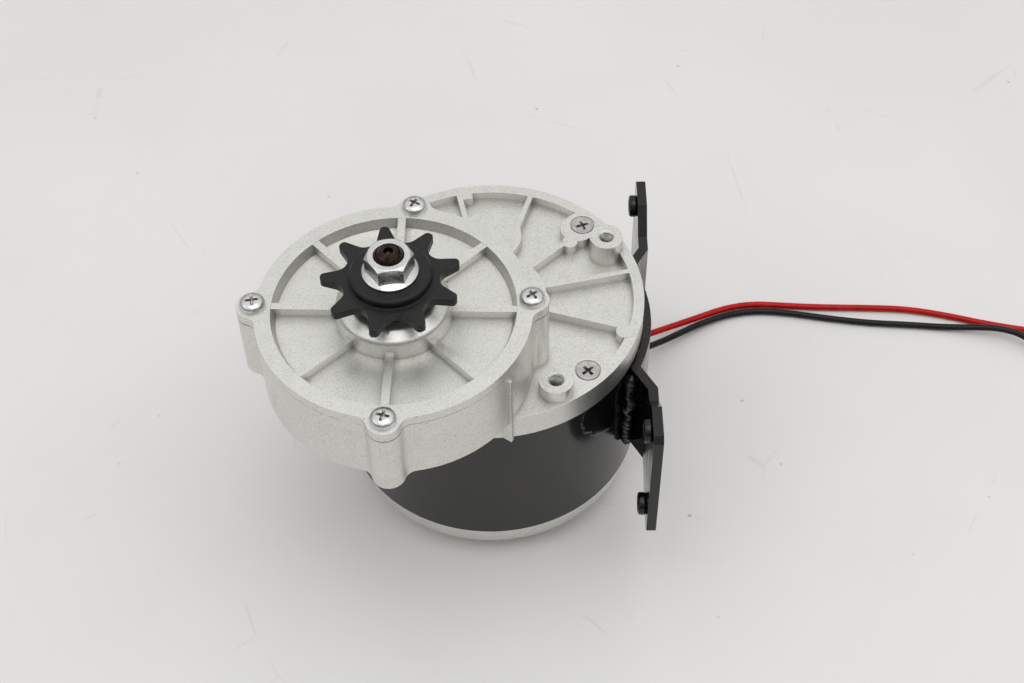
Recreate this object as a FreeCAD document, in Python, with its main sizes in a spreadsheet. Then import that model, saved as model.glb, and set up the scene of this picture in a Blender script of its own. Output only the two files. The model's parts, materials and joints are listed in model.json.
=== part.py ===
import FreeCAD, Part
import math
import os
import re

import Sketcher
from FreeCAD import Placement, Rotation, Vector

# A brushed direct-current motor with a two-stage spur gearbox, a chain sprocket and a welded
# mounting bracket, in millimetres. It stands on its rear cap: the origin is the centre of the
# cap's rest face, +Z runs up the motor shaft and +X points out through the mounting bracket.

SIZES = {
    # Motor casing
    "cap_height": 16.3,
    "cap_round": 15.0,
    "cap_inset": 0.3,
    "cap_floor": 3.0,
    "cap_wall": 4.0,
    "cap_slope": 8.0,
    "can_radius": 50.5,
    "can_length": 53.6,
    "can_wall": 2.5,
    "slip_gap": 0.1,
    "running_gap": 0.05,
    # Gear housing
    "plate_lip": 0.5,
    "plate_roof": 2.0,
    "output_offset": 39.6,
    "output_direction": 225.0,
    "drum_radius": 42.4,
    "drum_wall": 4.9,
    "drum_floor": 3.0,
    "lug_radius": 5.2,
    "lug_blend": 4.0,
    "near_lug_inset": 0.1,
    "far_lug_outset": 0.8,
    "gasket_thickness": 0.2,
    # Pockets and bosses on top of the housing plate
    "pocket_depth": 3.6,
    "plate_rim_width": 3.5,
    "hub_pad_radius": 19.0,
    "side_pad_offset": 27.0,
    "side_pad_radius": 11.0,
    "plate_rib_width": 1.8,
    "plate_rib_angle": 12.7,
    "tapped_boss_radius": 5.5,
    "tapped_boss_height": 5.0,
    "tapped_boss_angle": 28.6,
    "tapped_hole_radius": 2.1,
    "tapped_hole_depth": 12.5,
    "disc_boss_radius": 2.9,
    "disc_boss_inset": 4.3,
    "disc_boss_angle": -19.6,
    "disc_boss_height": 0.2,
    "seam_angle": -34.5,
    "seam_width": 1.2,
    "seam_reach": 1.0,
    # Gear cover
    "cover_overhang": 0.2,
    "cover_rim_height": 3.6,
    "cover_rim_width": 5.0,
    "cover_pocket_draft": 1.3,
    "cover_plate_thickness": 3.0,
    "cover_rib_width": 2.5,
    "cover_rib_height": 3.3,
    "cover_rib_angle": -1.6,
    "hub_wall": 4.0,
    "hub_lip": 2.2,
    "hub_round": 4.0,
    # Fasteners
    "bolt_radius": 2.0,
    "bolt_inset": 5.8,
    "bolt_grip": 6.8,
    "bolt_pillar_wall": 2.5,
    "plate_screw_inset": 14.5,
    "flat_head_radius": 3.8,
    "flat_head_height": 2.1,
    "flat_head_gap": 0.35,
    "pan_head_radius": 4.0,
    "pan_head_height": 2.7,
    "cover_screw_length": 14.0,
    "recess_depth": 1.5,
    "recess_width": 1.0,
    "recess_span": 4.6,
    # Bearings: the motor shaft's, then the output shaft's
    "motor_shaft_radius": 4.0,
    "motor_bearing_radius": 11.0,
    "motor_bearing_width": 7.0,
    "output_shaft_radius": 6.0,
    "output_bearing_radius": 14.0,
    "output_bearing_width": 8.0,
    "bearing_wall": 3.5,
    "bearing_lip": 1.0,
    "bearing_rise": 2.0,
    "washer_thickness": 0.5,
    # Armature, magnets and brush gear
    "magnet_thickness": 12.2,
    "magnet_overhang": 4.0,
    "slot_inset": 7.0,
    "slot_radius": 4.0,
    "slot_mouth": 2.0,
    "end_winding_length": 4.0,
    "commutator_radius": 12.5,
    "commutator_length": 12.0,
    "commutator_lift": 0.5,
    "bar_depth": 3.5,
    "winding_gap": 1.2,
    "winding_clearance": 0.9,
    "air_gap": 0.7,
    "magnet_span": 74.0,
    "brush_plate_thickness": 2.0,
    "brush_width": 6.0,
    "brush_box_wall": 0.8,
    "brush_box_gap": 4.0,
    "spring_length": 8.15,
    "spring_wire": 0.35,
    "spring_clearance": 0.9,
    "jumper_wire": 0.8,
    "jumper_gap": 0.4,
    "jumper_spacing": 3.5,
    # Gears
    "first_module": 0.75,
    "first_pinion_teeth": 18,
    "first_wheel_teeth": 44,
    "first_face_width": 5.5,
    "second_module": 1.0,
    "second_pinion_teeth": 11,
    "second_wheel_teeth": 44,
    "second_face_width": 7.5,
    "second_shift": 0.36,
    "tooth_backlash": 0.12,
    "middle_shaft_radius": 4.0,
    "bush_radius": 5.5,
    "bush_length": 3.5,
    "bearing_plate_thickness": 5.0,
    # Output stack
    "key_width": 4.0,
    "spacer_radius": 8.0,
    "gear_spacer_length": 2.6,
    "seal_radius": 11.0,
    "seal_height": 3.7,
    "seal_gap": 0.4,
    "sprocket_gap": 4.7,
    "sprocket_teeth": 9,
    "sprocket_tip_radius": 21.3,
    "sprocket_tip_width": 2.4,
    "sprocket_tip_round": 1.3,
    "sprocket_root_radius": 14.7,
    "sprocket_thickness": 3.0,
    "sprocket_ring_radius": 12.9,
    "sprocket_ring_height": 0.4,
    "sprocket_angle": 18.0,
    "chain_pitch": 12.7,
    "collar_radius": 12.4,
    "collar_height": 2.4,
    "stud_radius": 4.0,
    "stud_rise": 1.6,
    "stud_end_radius": 2.8,
    "stud_centre_radius": 1.5,
    "stud_centre_depth": 1.6,
    "nut_flats": 13.0,
    "nut_height": 7.3,
    "nut_turn": 7.0,
    "nut_mouth": 0.7,
    "nut_flange_radius": 8.5,
    "nut_flange_height": 0.9,
    "nut_flange_slope": 0.9,
    # Bracket
    "bracket_thickness": 3.2,
    "bracket_arc": 23.5,
    "bracket_standoff": 3.9,
    "bracket_slope_run": 8.77,
    "strip_above_cap": 14.7,
    "strip_below_top": 1.5,
    "ear_above_cap": 8.2,
    "ear_over_top": 6.3,
    "ear_flare_run": 8.2,
    "ear_hole_inset": 5.1,
    "ear_side_margin": 8.2,
    "ear_end_margin": 5.85,
    "ear_corner": 2.0,
    "hole_spacing_across": 98.0,
    "bracket_hole_radius": 2.5,
    "weld_nut_radius": 3.8,
    "weld_nut_height": 2.6,
    "weld_radius": 1.75,
    "weld_pitch": 2.3,
    "weld_margin": 2.5,
    # Leads
    "lead_radius": 1.2,
    "lead_spacing": 3.6,
    "lead_exit_angle": 33.0,
    "lead_exit_height": 10.5,
    "lead_straight": 6.2,
    "lead_post_inset": 2.9,
    "grommet_radius": 3.0,
    "grommet_lip": 1.2,
    "coil_radius": 13.0,
    "sleeve_radius": 2.1,
    "sleeve_length": 11.0,
    "terminal_radius": 1.9,
    "terminal_length": 9.0,
}

# Sizes that follow from the others.
FOLLOWS = {
    "can_bore": "can_radius - can_wall",
    "can_top": "cap_height + can_length",
    "cap_radius": "can_radius - cap_inset",
    "bolt_end": "cap_height - bolt_grip",
    "plate_radius": "can_radius + plate_lip",
    "pocket_radius": "plate_radius - plate_rim_width",
    "bolt_circle": "can_radius - bolt_inset",
    "plate_screw_circle": "can_radius - plate_screw_inset",
    "near_lug_circle": "drum_radius - near_lug_inset",
    "far_lug_circle": "drum_radius + far_lug_outset",
    "cover_radius": "drum_radius + cover_overhang",
    "hub_radius": "output_bearing_radius + hub_wall",
    "hub_mouth_radius": "seal_radius + hub_lip",
    "front_bearing_top": "can_top - bearing_plate_thickness + bearing_rise",
    "front_bearing_bottom": "front_bearing_top - motor_bearing_width",
    "stack_radius": "can_bore - slip_gap - magnet_thickness - air_gap",
    "slot_circle": "stack_radius - slot_inset",
    "commutator_bottom": "cap_height + commutator_lift",
    "winding_bottom": "commutator_bottom + commutator_length + winding_gap",
    "stack_bottom": "winding_bottom + end_winding_length",
    "winding_top": "front_bearing_bottom - bearing_lip - winding_clearance",
    "stack_top": "winding_top - end_winding_length",
    "stack_length": "stack_top - stack_bottom",
    "outer_jumper_radius": "bolt_circle - bolt_radius - jumper_gap - jumper_wire",
    "inner_jumper_radius": "outer_jumper_radius - jumper_spacing",
    "brush_box_start": "commutator_radius + brush_box_gap",
    "brush_box_end": "inner_jumper_radius - jumper_spacing",
    "brush_front": "commutator_radius + running_gap",
    "brush_back": "brush_box_end - brush_box_wall - spring_length",
    "bracket_outer": "can_radius + running_gap + bracket_thickness",
    "bracket_face": "can_radius + bracket_standoff",
    "bracket_bend": "bracket_outer * sin(bracket_arc) + bracket_slope_run",
    "bracket_half_width": "hole_spacing_across / 2 + ear_side_margin",
    "strip_bottom": "cap_height + strip_above_cap",
    "strip_top": "can_top - strip_below_top",
    "ear_bottom": "cap_height + ear_above_cap",
    "ear_top": "can_top + ear_over_top",
    "ear_middle": "(ear_bottom + ear_top) / 2",
    "ear_flare_end": "hole_spacing_across / 2 - ear_hole_inset",
    "ear_flare_start": "ear_flare_end - ear_flare_run",
    "hole_rise": "(ear_top - ear_bottom) / 2 - ear_end_margin",
    "lead_post_circle": "can_radius - cap_wall - lead_post_inset",
}

doc = FreeCAD.newDocument("GearMotor")
sheet = doc.addObject("Spreadsheet::Sheet", "Sizes")
for row, (alias, size) in enumerate(SIZES.items(), start=1):
    sheet.set(f"A{row}", alias)
    sheet.set(f"B{row}", str(size))
    sheet.setAlias(f"B{row}", alias)
doc.recompute()

nodes = {}


# Expressions. Every size's name has an underscore in it, and no function of the sheet has.


def linked(expression):
    """The expression with sizes that follow written out, and the others pointing at their cells."""

    def written_out(found):
        name = found[0]
        return f"({linked(FOLLOWS[name])})" if name in FOLLOWS else f"Sizes.{name}"

    return re.sub(r"\b[a-z]+(?:_[a-z]+)+\b", written_out, str(expression))


def number(expression):
    """What an expression comes to now."""
    return float(sheet.evalExpression(linked(expression)))


def bind(piece, **sizes):
    """Ties each named property of a piece to an expression."""
    for name, expression in sizes.items():
        piece.setExpression(name, linked(expression))
    return piece


def place(piece, at=(0, 0, 0), turn=None):
    """Ties a piece's place, and its turn about Z, to expressions."""
    for axis, expression in zip("xyz", at):
        piece.setExpression(f"Placement.Base.{axis}", linked(expression))
    if turn is not None:
        piece.setExpression("Placement.Rotation.Angle", linked(turn))
    return piece


def polar(radius, angle, centre=("0", "0")):
    """The X and Y of a point at a radius and an angle about a centre."""
    return (
        f"({centre[0]} + ({radius}) * cos({angle}))",
        f"({centre[1]} + ({radius}) * sin({angle}))",
    )


def node(label, piece):
    """Gives a finished sub-part its name."""
    piece.Label = label
    nodes[label] = piece
    return piece


# Sketches and turned or extruded bodies


def sketch_in(body, role, offset=0):
    """An empty sketch on one of a body's own origin planes."""
    sketch = body.newObject("Sketcher::SketchObject", "Sketch")
    plane = next(o for o in body.Origin.OriginFeatures if o.Role == role)
    sketch.AttachmentSupport = [(plane, "")]
    sketch.MapMode = "FlatFace"
    sketch.setExpression("AttachmentOffset.Base.z", linked(offset))
    return sketch


def tie_point(sketch, geometry, position, corner):
    """Dimensions one point of a sketch from its origin."""
    for kind, expression in zip(("DistanceX", "DistanceY"), corner):
        value = number(expression)
        added = sketch.addConstraint(
            Sketcher.Constraint(kind, -1, 1, geometry, position, value)
        )
        sketch.setExpression(f"Constraints[{added}]", linked(expression))


def draw_outline(sketch, corners):
    """A closed outline of straight runs through fully dimensioned corners."""
    points = [Vector(number(x), number(y), 0) for x, y in corners]
    count = len(points)
    first = sketch.GeometryCount
    for i in range(count):
        line = Part.LineSegment(points[i], points[(i + 1) % count])
        sketch.addGeometry(line, False)
    for i in range(count):
        after = first + (i + 1) % count
        sketch.addConstraint(Sketcher.Constraint("Coincident", first + i, 2, after, 1))
    for i, corner in enumerate(corners):
        tie_point(sketch, first + i, 1, corner)


def draw_circle(sketch, radius, centre=("0", "0")):
    """A dimensioned circle."""
    middle = Vector(number(centre[0]), number(centre[1]), 0)
    circle = sketch.addGeometry(
        Part.Circle(middle, Vector(0, 0, 1), number(radius)), False
    )
    tie_point(sketch, circle, 3, centre)
    added = sketch.addConstraint(Sketcher.Constraint("Radius", circle, number(radius)))
    sketch.setExpression(f"Constraints[{added}]", linked(radius))


def turned(name, corners, at=(0, 0, 0)):
    """A body turned about its own Z axis from a closed outline of (radius, height) corners."""
    body = doc.addObject("PartDesign::Body", name)
    sketch = sketch_in(body, "XZ_Plane")
    draw_outline(sketch, corners)
    turn = body.newObject("PartDesign::Revolution", "Turn")
    turn.Profile = sketch
    turn.ReferenceAxis = (sketch, ["V_Axis"])
    turn.Angle = 360
    return place(body, at)


def ring(name, outer, inner, height, at=(0, 0, 0)):
    """A plain turned ring standing on its own XY plane."""
    corners = [(inner, 0), (outer, 0), (outer, height), (inner, height)]
    return turned(name, corners, at)


def padded(body, sketch, length):
    """Adds a pad of a sketch to its body."""
    pad = body.newObject("PartDesign::Pad", "Pad")
    pad.Profile = sketch
    return bind(pad, Length=length)


def extruded(name, corners, height, at=(0, 0, 0), turn=None, holes=()):
    """A body padded from a closed outline, less round holes of (radius, centre)."""
    body = doc.addObject("PartDesign::Body", name)
    sketch = sketch_in(body, "XY_Plane")
    draw_outline(sketch, corners)
    for radius, centre in holes:
        draw_circle(sketch, radius, centre)
    padded(body, sketch, height)
    return place(body, at, turn)


def rounded(body, radius, wanted):
    """Rounds those of a body's edges for which wanted(edge) is true."""
    doc.recompute()
    base = body.Tip
    names = [f"Edge{i}" for i, edge in enumerate(base.Shape.Edges, 1) if wanted(edge)]
    if not names:
        raise RuntimeError(f"{body.Name} has no edge to round")
    fillet = body.newObject("PartDesign::Fillet", "Fillet")
    fillet.Base = (base, names)
    return bind(fillet, Radius=radius)


def is_ring(edge, radius, height):
    """Whether an edge is a whole circle of a radius at a height, in its body's own frame."""
    if not isinstance(edge.Curve, Part.Circle):
        return False
    same_height = abs(edge.Curve.Center.z - number(height)) < 0.01
    return same_height and abs(edge.Curve.Radius - number(radius)) < 0.01


# Primitives and booleans


def cylinder(radius, height, at=(0, 0, 0)):
    """A solid cylinder along Z."""
    solid = doc.addObject("Part::Cylinder", "Cylinder")
    bind(solid, Radius=radius, Height=height)
    return place(solid, at)


def block(length, width, height, centre, turn=0, start=0):
    """A box at a centre, from start to start + length along its turned X, centred on its Y."""
    solid = doc.addObject("Part::Box", "Block")
    bind(solid, Length=length, Width=width, Height=height)
    x, y, z = centre
    at = (
        f"{x} + ({start}) * cos({turn}) + ({width}) / 2 * sin({turn})",
        f"{y} + ({start}) * sin({turn}) - ({width}) / 2 * cos({turn})",
        z,
    )
    return place(solid, at, turn)


def fused(*pieces):
    """Several solids as one."""
    fuse = doc.addObject("Part::MultiFuse", "Fuse")
    fuse.Shapes = list(pieces)
    return fuse


def less(base, *tools):
    """A solid with others cut from it."""
    cut = doc.addObject("Part::Cut", "Cut")
    cut.Base = base
    cut.Tool = tools[0] if len(tools) == 1 else group("Tools", tools)
    return cut


def group(name, pieces):
    """Several solids kept apart in one object."""
    compound = doc.addObject("Part::Compound", name)
    compound.Links = list(pieces)
    return compound


def copies(name, master, places):
    """One group of linked copies of a master piece at (at, turn) places."""
    links = []
    for at, turn in places:
        link = doc.addObject("App::Link", "Copy")
        link.LinkedObject = master
        links.append(place(link, at, turn))
    return group(name, links)


def made(name, shape):
    """A shape worked out in code, as an object of the document."""
    feature = doc.addObject("Part::Feature", name)
    feature.Shape = shape
    return feature


# Levels and centres, each from the sizes above

CAN_TOP = "can_top"
FIRST_GEAR_BOTTOM = f"({CAN_TOP} + 1)"
LOWER_CAVITY_TOP = f"({FIRST_GEAR_BOTTOM} + first_face_width + 0.9)"
PLATE_TOP = f"({LOWER_CAVITY_TOP} + plate_roof)"
POCKET_FLOOR = f"({PLATE_TOP} - pocket_depth)"
BOSS_TOP = f"({PLATE_TOP} + tapped_boss_height)"
DRUM_FLOOR_TOP = f"({PLATE_TOP} + drum_floor)"
LOWER_BEARING_BOTTOM = f"({PLATE_TOP} + drum_floor / 2)"
LOWER_BEARING_TOP = f"({LOWER_BEARING_BOTTOM} + output_bearing_width)"
SECOND_GEAR_BOTTOM = f"({LOWER_BEARING_TOP} + 1)"
SECOND_GEAR_TOP = f"({SECOND_GEAR_BOTTOM} + second_face_width)"
COVER_INSIDE = f"({SECOND_GEAR_TOP} + gear_spacer_length)"
COVER_FLOOR = f"({COVER_INSIDE} + cover_plate_thickness)"
COVER_BOTTOM = f"({COVER_FLOOR} - slip_gap)"
COVER_TOP = f"({COVER_BOTTOM} + cover_rim_height)"
DRUM_TOP = f"({COVER_BOTTOM} - gasket_thickness)"
DRUM_HEIGHT = f"({DRUM_TOP} - {PLATE_TOP})"
PLATE_THICKNESS = f"({PLATE_TOP} - {CAN_TOP})"
UPPER_BEARING_TOP = f"({COVER_INSIDE} + output_bearing_width)"
HUB_TOP = f"({UPPER_BEARING_TOP} + seal_gap + seal_height)"
UPPER_BUSH_BOTTOM = f"({COVER_INSIDE} - 2)"
SPROCKET_BOTTOM = f"({HUB_TOP} + sprocket_gap)"
SPROCKET_TOP = f"({SPROCKET_BOTTOM} + sprocket_thickness + sprocket_ring_height)"
COLLAR_TOP = f"({SPROCKET_TOP} + collar_height)"
STUD_TOP = f"({COLLAR_TOP} + nut_height + stud_rise)"

OUTPUT = polar("output_offset", "output_direction")
FIRST_DISTANCE = "(first_module * (first_pinion_teeth + first_wheel_teeth) / 2)"
SECOND_DISTANCE = "(second_module * (second_pinion_teeth + second_wheel_teeth) / 2)"
# The middle shaft stands where the two centre distances meet, on the +Y side of the line
# from the motor shaft to the output shaft.
ALONG = (
    f"((output_offset ^ 2 + {FIRST_DISTANCE} ^ 2 - {SECOND_DISTANCE} ^ 2) / (2 * output_offset))"
)
MIDDLE_TURN = f"(output_direction - acos({ALONG} / {FIRST_DISTANCE}) / 1 deg)"
MIDDLE = polar(FIRST_DISTANCE, MIDDLE_TURN)

PLATE_INSIDE = f"({CAN_TOP} - bearing_plate_thickness)"
FRONT_BEARING_TOP = "front_bearing_top"
FRONT_BEARING_BOTTOM = "front_bearing_bottom"
BUSH_POCKET = f"({CAN_TOP} - bush_length)"
WASHER_BOTTOM = "(cap_floor - 1)"
REAR_BEARING_BOTTOM = f"({WASHER_BOTTOM} + washer_thickness)"
REAR_BEARING_TOP = f"({REAR_BEARING_BOTTOM} + motor_bearing_width)"
BRUSH_PLATE_TOP = "(cap_height + brush_plate_thickness)"
CAN_BORE = "can_bore"
MAGNET_LENGTH = "(stack_length + 2 * magnet_overhang)"

LUG_PLACES = (
    ("near_lug_circle", 3.4),
    ("near_lug_circle", 83.4),
    ("far_lug_circle", 178.4),
    ("far_lug_circle", 268.4),
)
LUGS = [polar(circle, angle, OUTPUT) for circle, angle in LUG_PLACES]
BOLT_ANGLES = (45, 135, 315)
PLATE_SCREW_ANGLES = (0, 120, 240)
BRUSH_ANGLES = (0, 90, 180, 270)


# Gears and screws


def involute(angle):
    return math.tan(angle) - angle


def gear_face(module, teeth, shift, thinning):
    """The outline of a spur gear, one tooth centred on +X, flanks as true involutes."""
    pressure = math.radians(20)
    pitch_radius = module * teeth / 2
    base = pitch_radius * math.cos(pressure)
    tip = pitch_radius + module * (0.95 + shift)
    root = pitch_radius - module * (1.25 - shift)
    thickness = module * (math.pi / 2 + 2 * shift * math.tan(pressure)) - thinning
    half_pitch = thickness / (2 * pitch_radius) + involute(pressure)

    def half_angle(radius):
        return half_pitch - involute(math.acos(min(1.0, base / radius)))

    def point(radius, angle):
        return Vector(radius * math.cos(angle), radius * math.sin(angle), 0)

    foot = max(base, root)
    radii = [foot + (tip - foot) * i / 5 for i in range(6)]
    edges = []
    for tooth in range(int(teeth)):
        middle = 2 * math.pi * tooth / teeth
        after = middle + 2 * math.pi / teeth
        rising = [point(r, middle - half_angle(r)) for r in radii]
        falling = [point(r, middle + half_angle(r)) for r in reversed(radii)]
        low = half_angle(foot)
        start = point(root, middle - low)
        end = point(root, middle + low)
        next_start = point(root, after - low)
        if root < foot - 1e-6:
            edges.append(Part.makeLine(start, rising[0]))
        for flank in (rising, falling):
            curve = Part.BSplineCurve()
            curve.interpolate(flank)
            if flank is falling:
                crown = Part.Arc(rising[-1], point(tip, middle), falling[0])
                edges.append(crown.toShape())
            edges.append(curve.toShape())
        if root < foot - 1e-6:
            edges.append(Part.makeLine(falling[-1], end))
        valley = Part.Arc(end, point(root, (middle + after) / 2), next_start)
        edges.append(valley.toShape())
    return Part.Face(Part.Wire(edges))


def gear(name, prefix, role, shift, height, bore, at, turn):
    """A spur gear with a plain bore, standing at a place with one tooth at an angle."""
    thinning = number("tooth_backlash") / 2
    face = gear_face(
        number(f"{prefix}_module"), number(f"{prefix}_{role}_teeth"), shift, thinning
    )
    blank = face.extrude(Vector(0, 0, number(height)))
    if bore:
        blank = blank.cut(Part.makeCylinder(number(bore), number(height)))
    solid = made(name, blank)
    return place(solid, at, turn)


def cross_recess(depth_from):
    """The tapering cross of a screwdriver recess, its mouth at a height."""
    arms = []
    for turn in (0, 90):
        arm = doc.addObject("Part::Wedge", "RecessArm")
        bind(
            arm,
            Xmin="-recess_span / 2",
            Xmax="recess_span / 2",
            Zmin="-recess_width / 2",
            Zmax="recess_width / 2",
            Ymin=0,
            Ymax="recess_depth",
            X2min="-recess_span / 4",
            X2max="recess_span / 4",
            Z2min="-recess_width / 4",
            Z2max="recess_width / 4",
        )
        tilt = Rotation(Vector(0, 0, 1), turn).multiply(Rotation(Vector(1, 0, 0), -90))
        arm.Placement = Placement(Vector(0, 0, number(depth_from)), tilt)
        arm.setExpression("Placement.Base.z", linked(depth_from))
        arms.append(arm)
    return fused(*arms)


def pan_screw(name, length):
    """A pan-head screw, the head's seat at its own XY plane."""
    head = "pan_head_height"
    body = turned(
        name,
        [
            (0, f"-({length})"),
            ("bolt_radius - 0.5", f"-({length})"),
            ("bolt_radius", f"0.5 - ({length})"),
            ("bolt_radius", 0),
            ("pan_head_radius", 0),
            ("pan_head_radius", f"{head} * 0.35"),
            ("pan_head_radius * 0.93", f"{head} * 0.62"),
            ("pan_head_radius * 0.76", f"{head} * 0.84"),
            ("pan_head_radius * 0.48", f"{head} * 0.96"),
            (0, head),
        ],
    )
    return less(body, cross_recess(f"{head} + 0.05"))


def flat_screw(name, length):
    """A countersunk screw, its flat top at its own XY plane."""
    body = turned(
        name,
        [
            (0, f"-({length})"),
            ("bolt_radius - 0.5", f"-({length})"),
            ("bolt_radius", f"0.5 - ({length})"),
            ("bolt_radius", "-flat_head_height"),
            ("flat_head_radius", "-0.3"),
            ("flat_head_radius", 0),
            (0, 0),
        ],
    )
    return less(body, cross_recess(0.05))


def countersink(length):
    """What a flat screw's hole takes away, its mouth at the tool's own XY plane."""
    gap = "slip_gap"
    return turned(
        "Countersink",
        [
            (0, f"-({length})"),
            (f"bolt_radius + {gap}", f"-({length})"),
            (f"bolt_radius + {gap}", f"-flat_head_height - {gap}"),
            (f"flat_head_radius + {gap}", f"-0.3 - {gap}"),
            ("flat_head_radius + flat_head_gap", f"-0.3 - {gap}"),
            ("flat_head_radius + flat_head_gap", 1),
            (0, 1),
        ],
    )


# Motor casing


def rear_cap():
    """A dished cap, its hollow cut round a bearing seat and a pillar for each through bolt."""
    shell = turned("RearCapShell", [
        (0, 0), ("cap_radius", 0), ("cap_radius", "cap_height"), (0, "cap_height"),
    ])
    rounded(shell, "cap_round", lambda edge: is_ring(edge, "cap_radius", 0))
    hollow = turned(
        "RearCapHollow",
        [
            (0, f"{WASHER_BOTTOM}"),
            ("motor_bearing_radius", f"{WASHER_BOTTOM}"),
            ("motor_bearing_radius", REAR_BEARING_TOP),
            ("motor_bearing_radius + bearing_wall", REAR_BEARING_TOP),
            ("motor_bearing_radius + bearing_wall", "cap_floor"),
            ("can_radius - cap_wall - cap_slope", "cap_floor"),
            ("can_radius - cap_wall", "cap_floor + cap_slope"),
            ("can_radius - cap_wall", "cap_height + 1"),
            (0, "cap_height + 1"),
        ],
    )
    pillars = []
    holes = []
    for angle in BOLT_ANGLES:
        x, y = polar("bolt_circle", angle)
        pillars.append(cylinder("bolt_radius + bolt_pillar_wall", "cap_height", (x, y, 0)))
        holes.append(cylinder("bolt_radius + slip_gap", "bolt_grip + 1", (x, y, "bolt_end - 1")))
    opening = lead_opening("slip_gap / 4")
    node("rear_cap", less(shell, less(hollow, *pillars), opening, *holes))


def motor_can():
    node("motor_can", ring("Can", "can_radius", CAN_BORE, "can_length", (0, 0, "cap_height")))


def magnets():
    inner = "stack_radius + air_gap"
    sector = doc.addObject("Part::Cylinder", "MagnetSector")
    bind(sector, Radius=f"{CAN_BORE} - slip_gap", Height=MAGNET_LENGTH, Angle="magnet_span")
    arc = less(sector, cylinder(inner, MAGNET_LENGTH))
    z = "stack_bottom - magnet_overhang"
    places = [((0, 0, z), f"{turn} - magnet_span / 2") for turn in (0, 90, 180, 270)]
    node("magnets", copies("Magnets", arc, places))


def bearing(label, outer, inner, width, at, count):
    """A ball bearing as its two rings and its balls."""
    middle = f"(({outer} + {inner}) / 2)"
    ball = f"(({outer} - {inner}) * 0.3)"
    groove = doc.addObject("Part::Torus", "Groove")
    bind(groove, Radius1=middle, Radius2=f"{ball} + running_gap")
    place(groove, (at[0], at[1], f"{at[2]} + {width} / 2"))
    race = f"({outer} - {inner}) * 0.2"
    shell = ring("OuterRace", outer, f"{outer} - {race}", width, at)
    core = ring("InnerRace", f"{inner} + {race}", inner, width, at)
    node(f"{label}_outer", less(shell, groove))
    node(f"{label}_inner", less(core, groove))
    balls = []
    for i in range(count):
        sphere = doc.addObject("Part::Sphere", "Ball")
        bind(sphere, Radius=ball)
        x, y = polar(middle, f"360 / {count} * {i}", at[:2])
        balls.append(place(sphere, (x, y, f"{at[2]} + {width} / 2")))
    node(f"{label}_balls", group("Balls", balls))


def motor_bearings():
    sizes = ("motor_bearing_radius", "motor_shaft_radius", "motor_bearing_width")
    bearing("rear_bearing", *sizes, ("0", "0", REAR_BEARING_BOTTOM), 7)
    bearing("front_bearing", *sizes, ("0", "0", FRONT_BEARING_BOTTOM), 7)
    z = f"{WASHER_BOTTOM}"
    outer = "motor_bearing_radius - slip_gap"
    inner = "motor_bearing_radius - 3"
    node("wave_washer", ring("Washer", outer, inner, "washer_thickness", (0, 0, z)))


def bearing_plate():
    body = turned(
        "BearingPlateBlank",
        [
            (5, CAN_TOP),
            (5, FRONT_BEARING_TOP),
            ("motor_bearing_radius", FRONT_BEARING_TOP),
            ("motor_bearing_radius", f"{FRONT_BEARING_BOTTOM} - bearing_lip"),
            ("motor_bearing_radius + bearing_wall", f"{FRONT_BEARING_BOTTOM} - bearing_lip"),
            ("motor_bearing_radius + bearing_wall", PLATE_INSIDE),
            (f"{CAN_BORE} - slip_gap", PLATE_INSIDE),
            (f"{CAN_BORE} - slip_gap", CAN_TOP),
        ],
    )
    tools = [cylinder("bush_radius", "bush_length", (*MIDDLE, BUSH_POCKET))]
    for angle in BOLT_ANGLES:
        x, y = polar("bolt_circle", angle)
        tools.append(cylinder("bolt_radius + slip_gap", "bearing_plate_thickness", (x, y, PLATE_INSIDE)))
    places = []
    for angle in PLATE_SCREW_ANGLES:
        x, y = polar("plate_screw_circle", angle)
        places.append((x, y, PLATE_INSIDE))
        tools.append(flipped(countersink("bearing_plate_thickness"), (x, y, PLATE_INSIDE)))
    node("bearing_plate", less(body, *tools))
    screw = flat_screw("PlateScrew", "bearing_plate_thickness + 4")
    node("bearing_plate_screws", group("PlateScrews", [flipped(screw, at) for at in places]))


def flipped(master, at):
    """A linked copy of a master piece turned upside down."""
    link = doc.addObject("App::Link", "Copy")
    link.LinkedObject = master
    link.Placement = Placement(Vector(), Rotation(Vector(1, 0, 0), 180))
    return place(link, at)


# Armature


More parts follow.
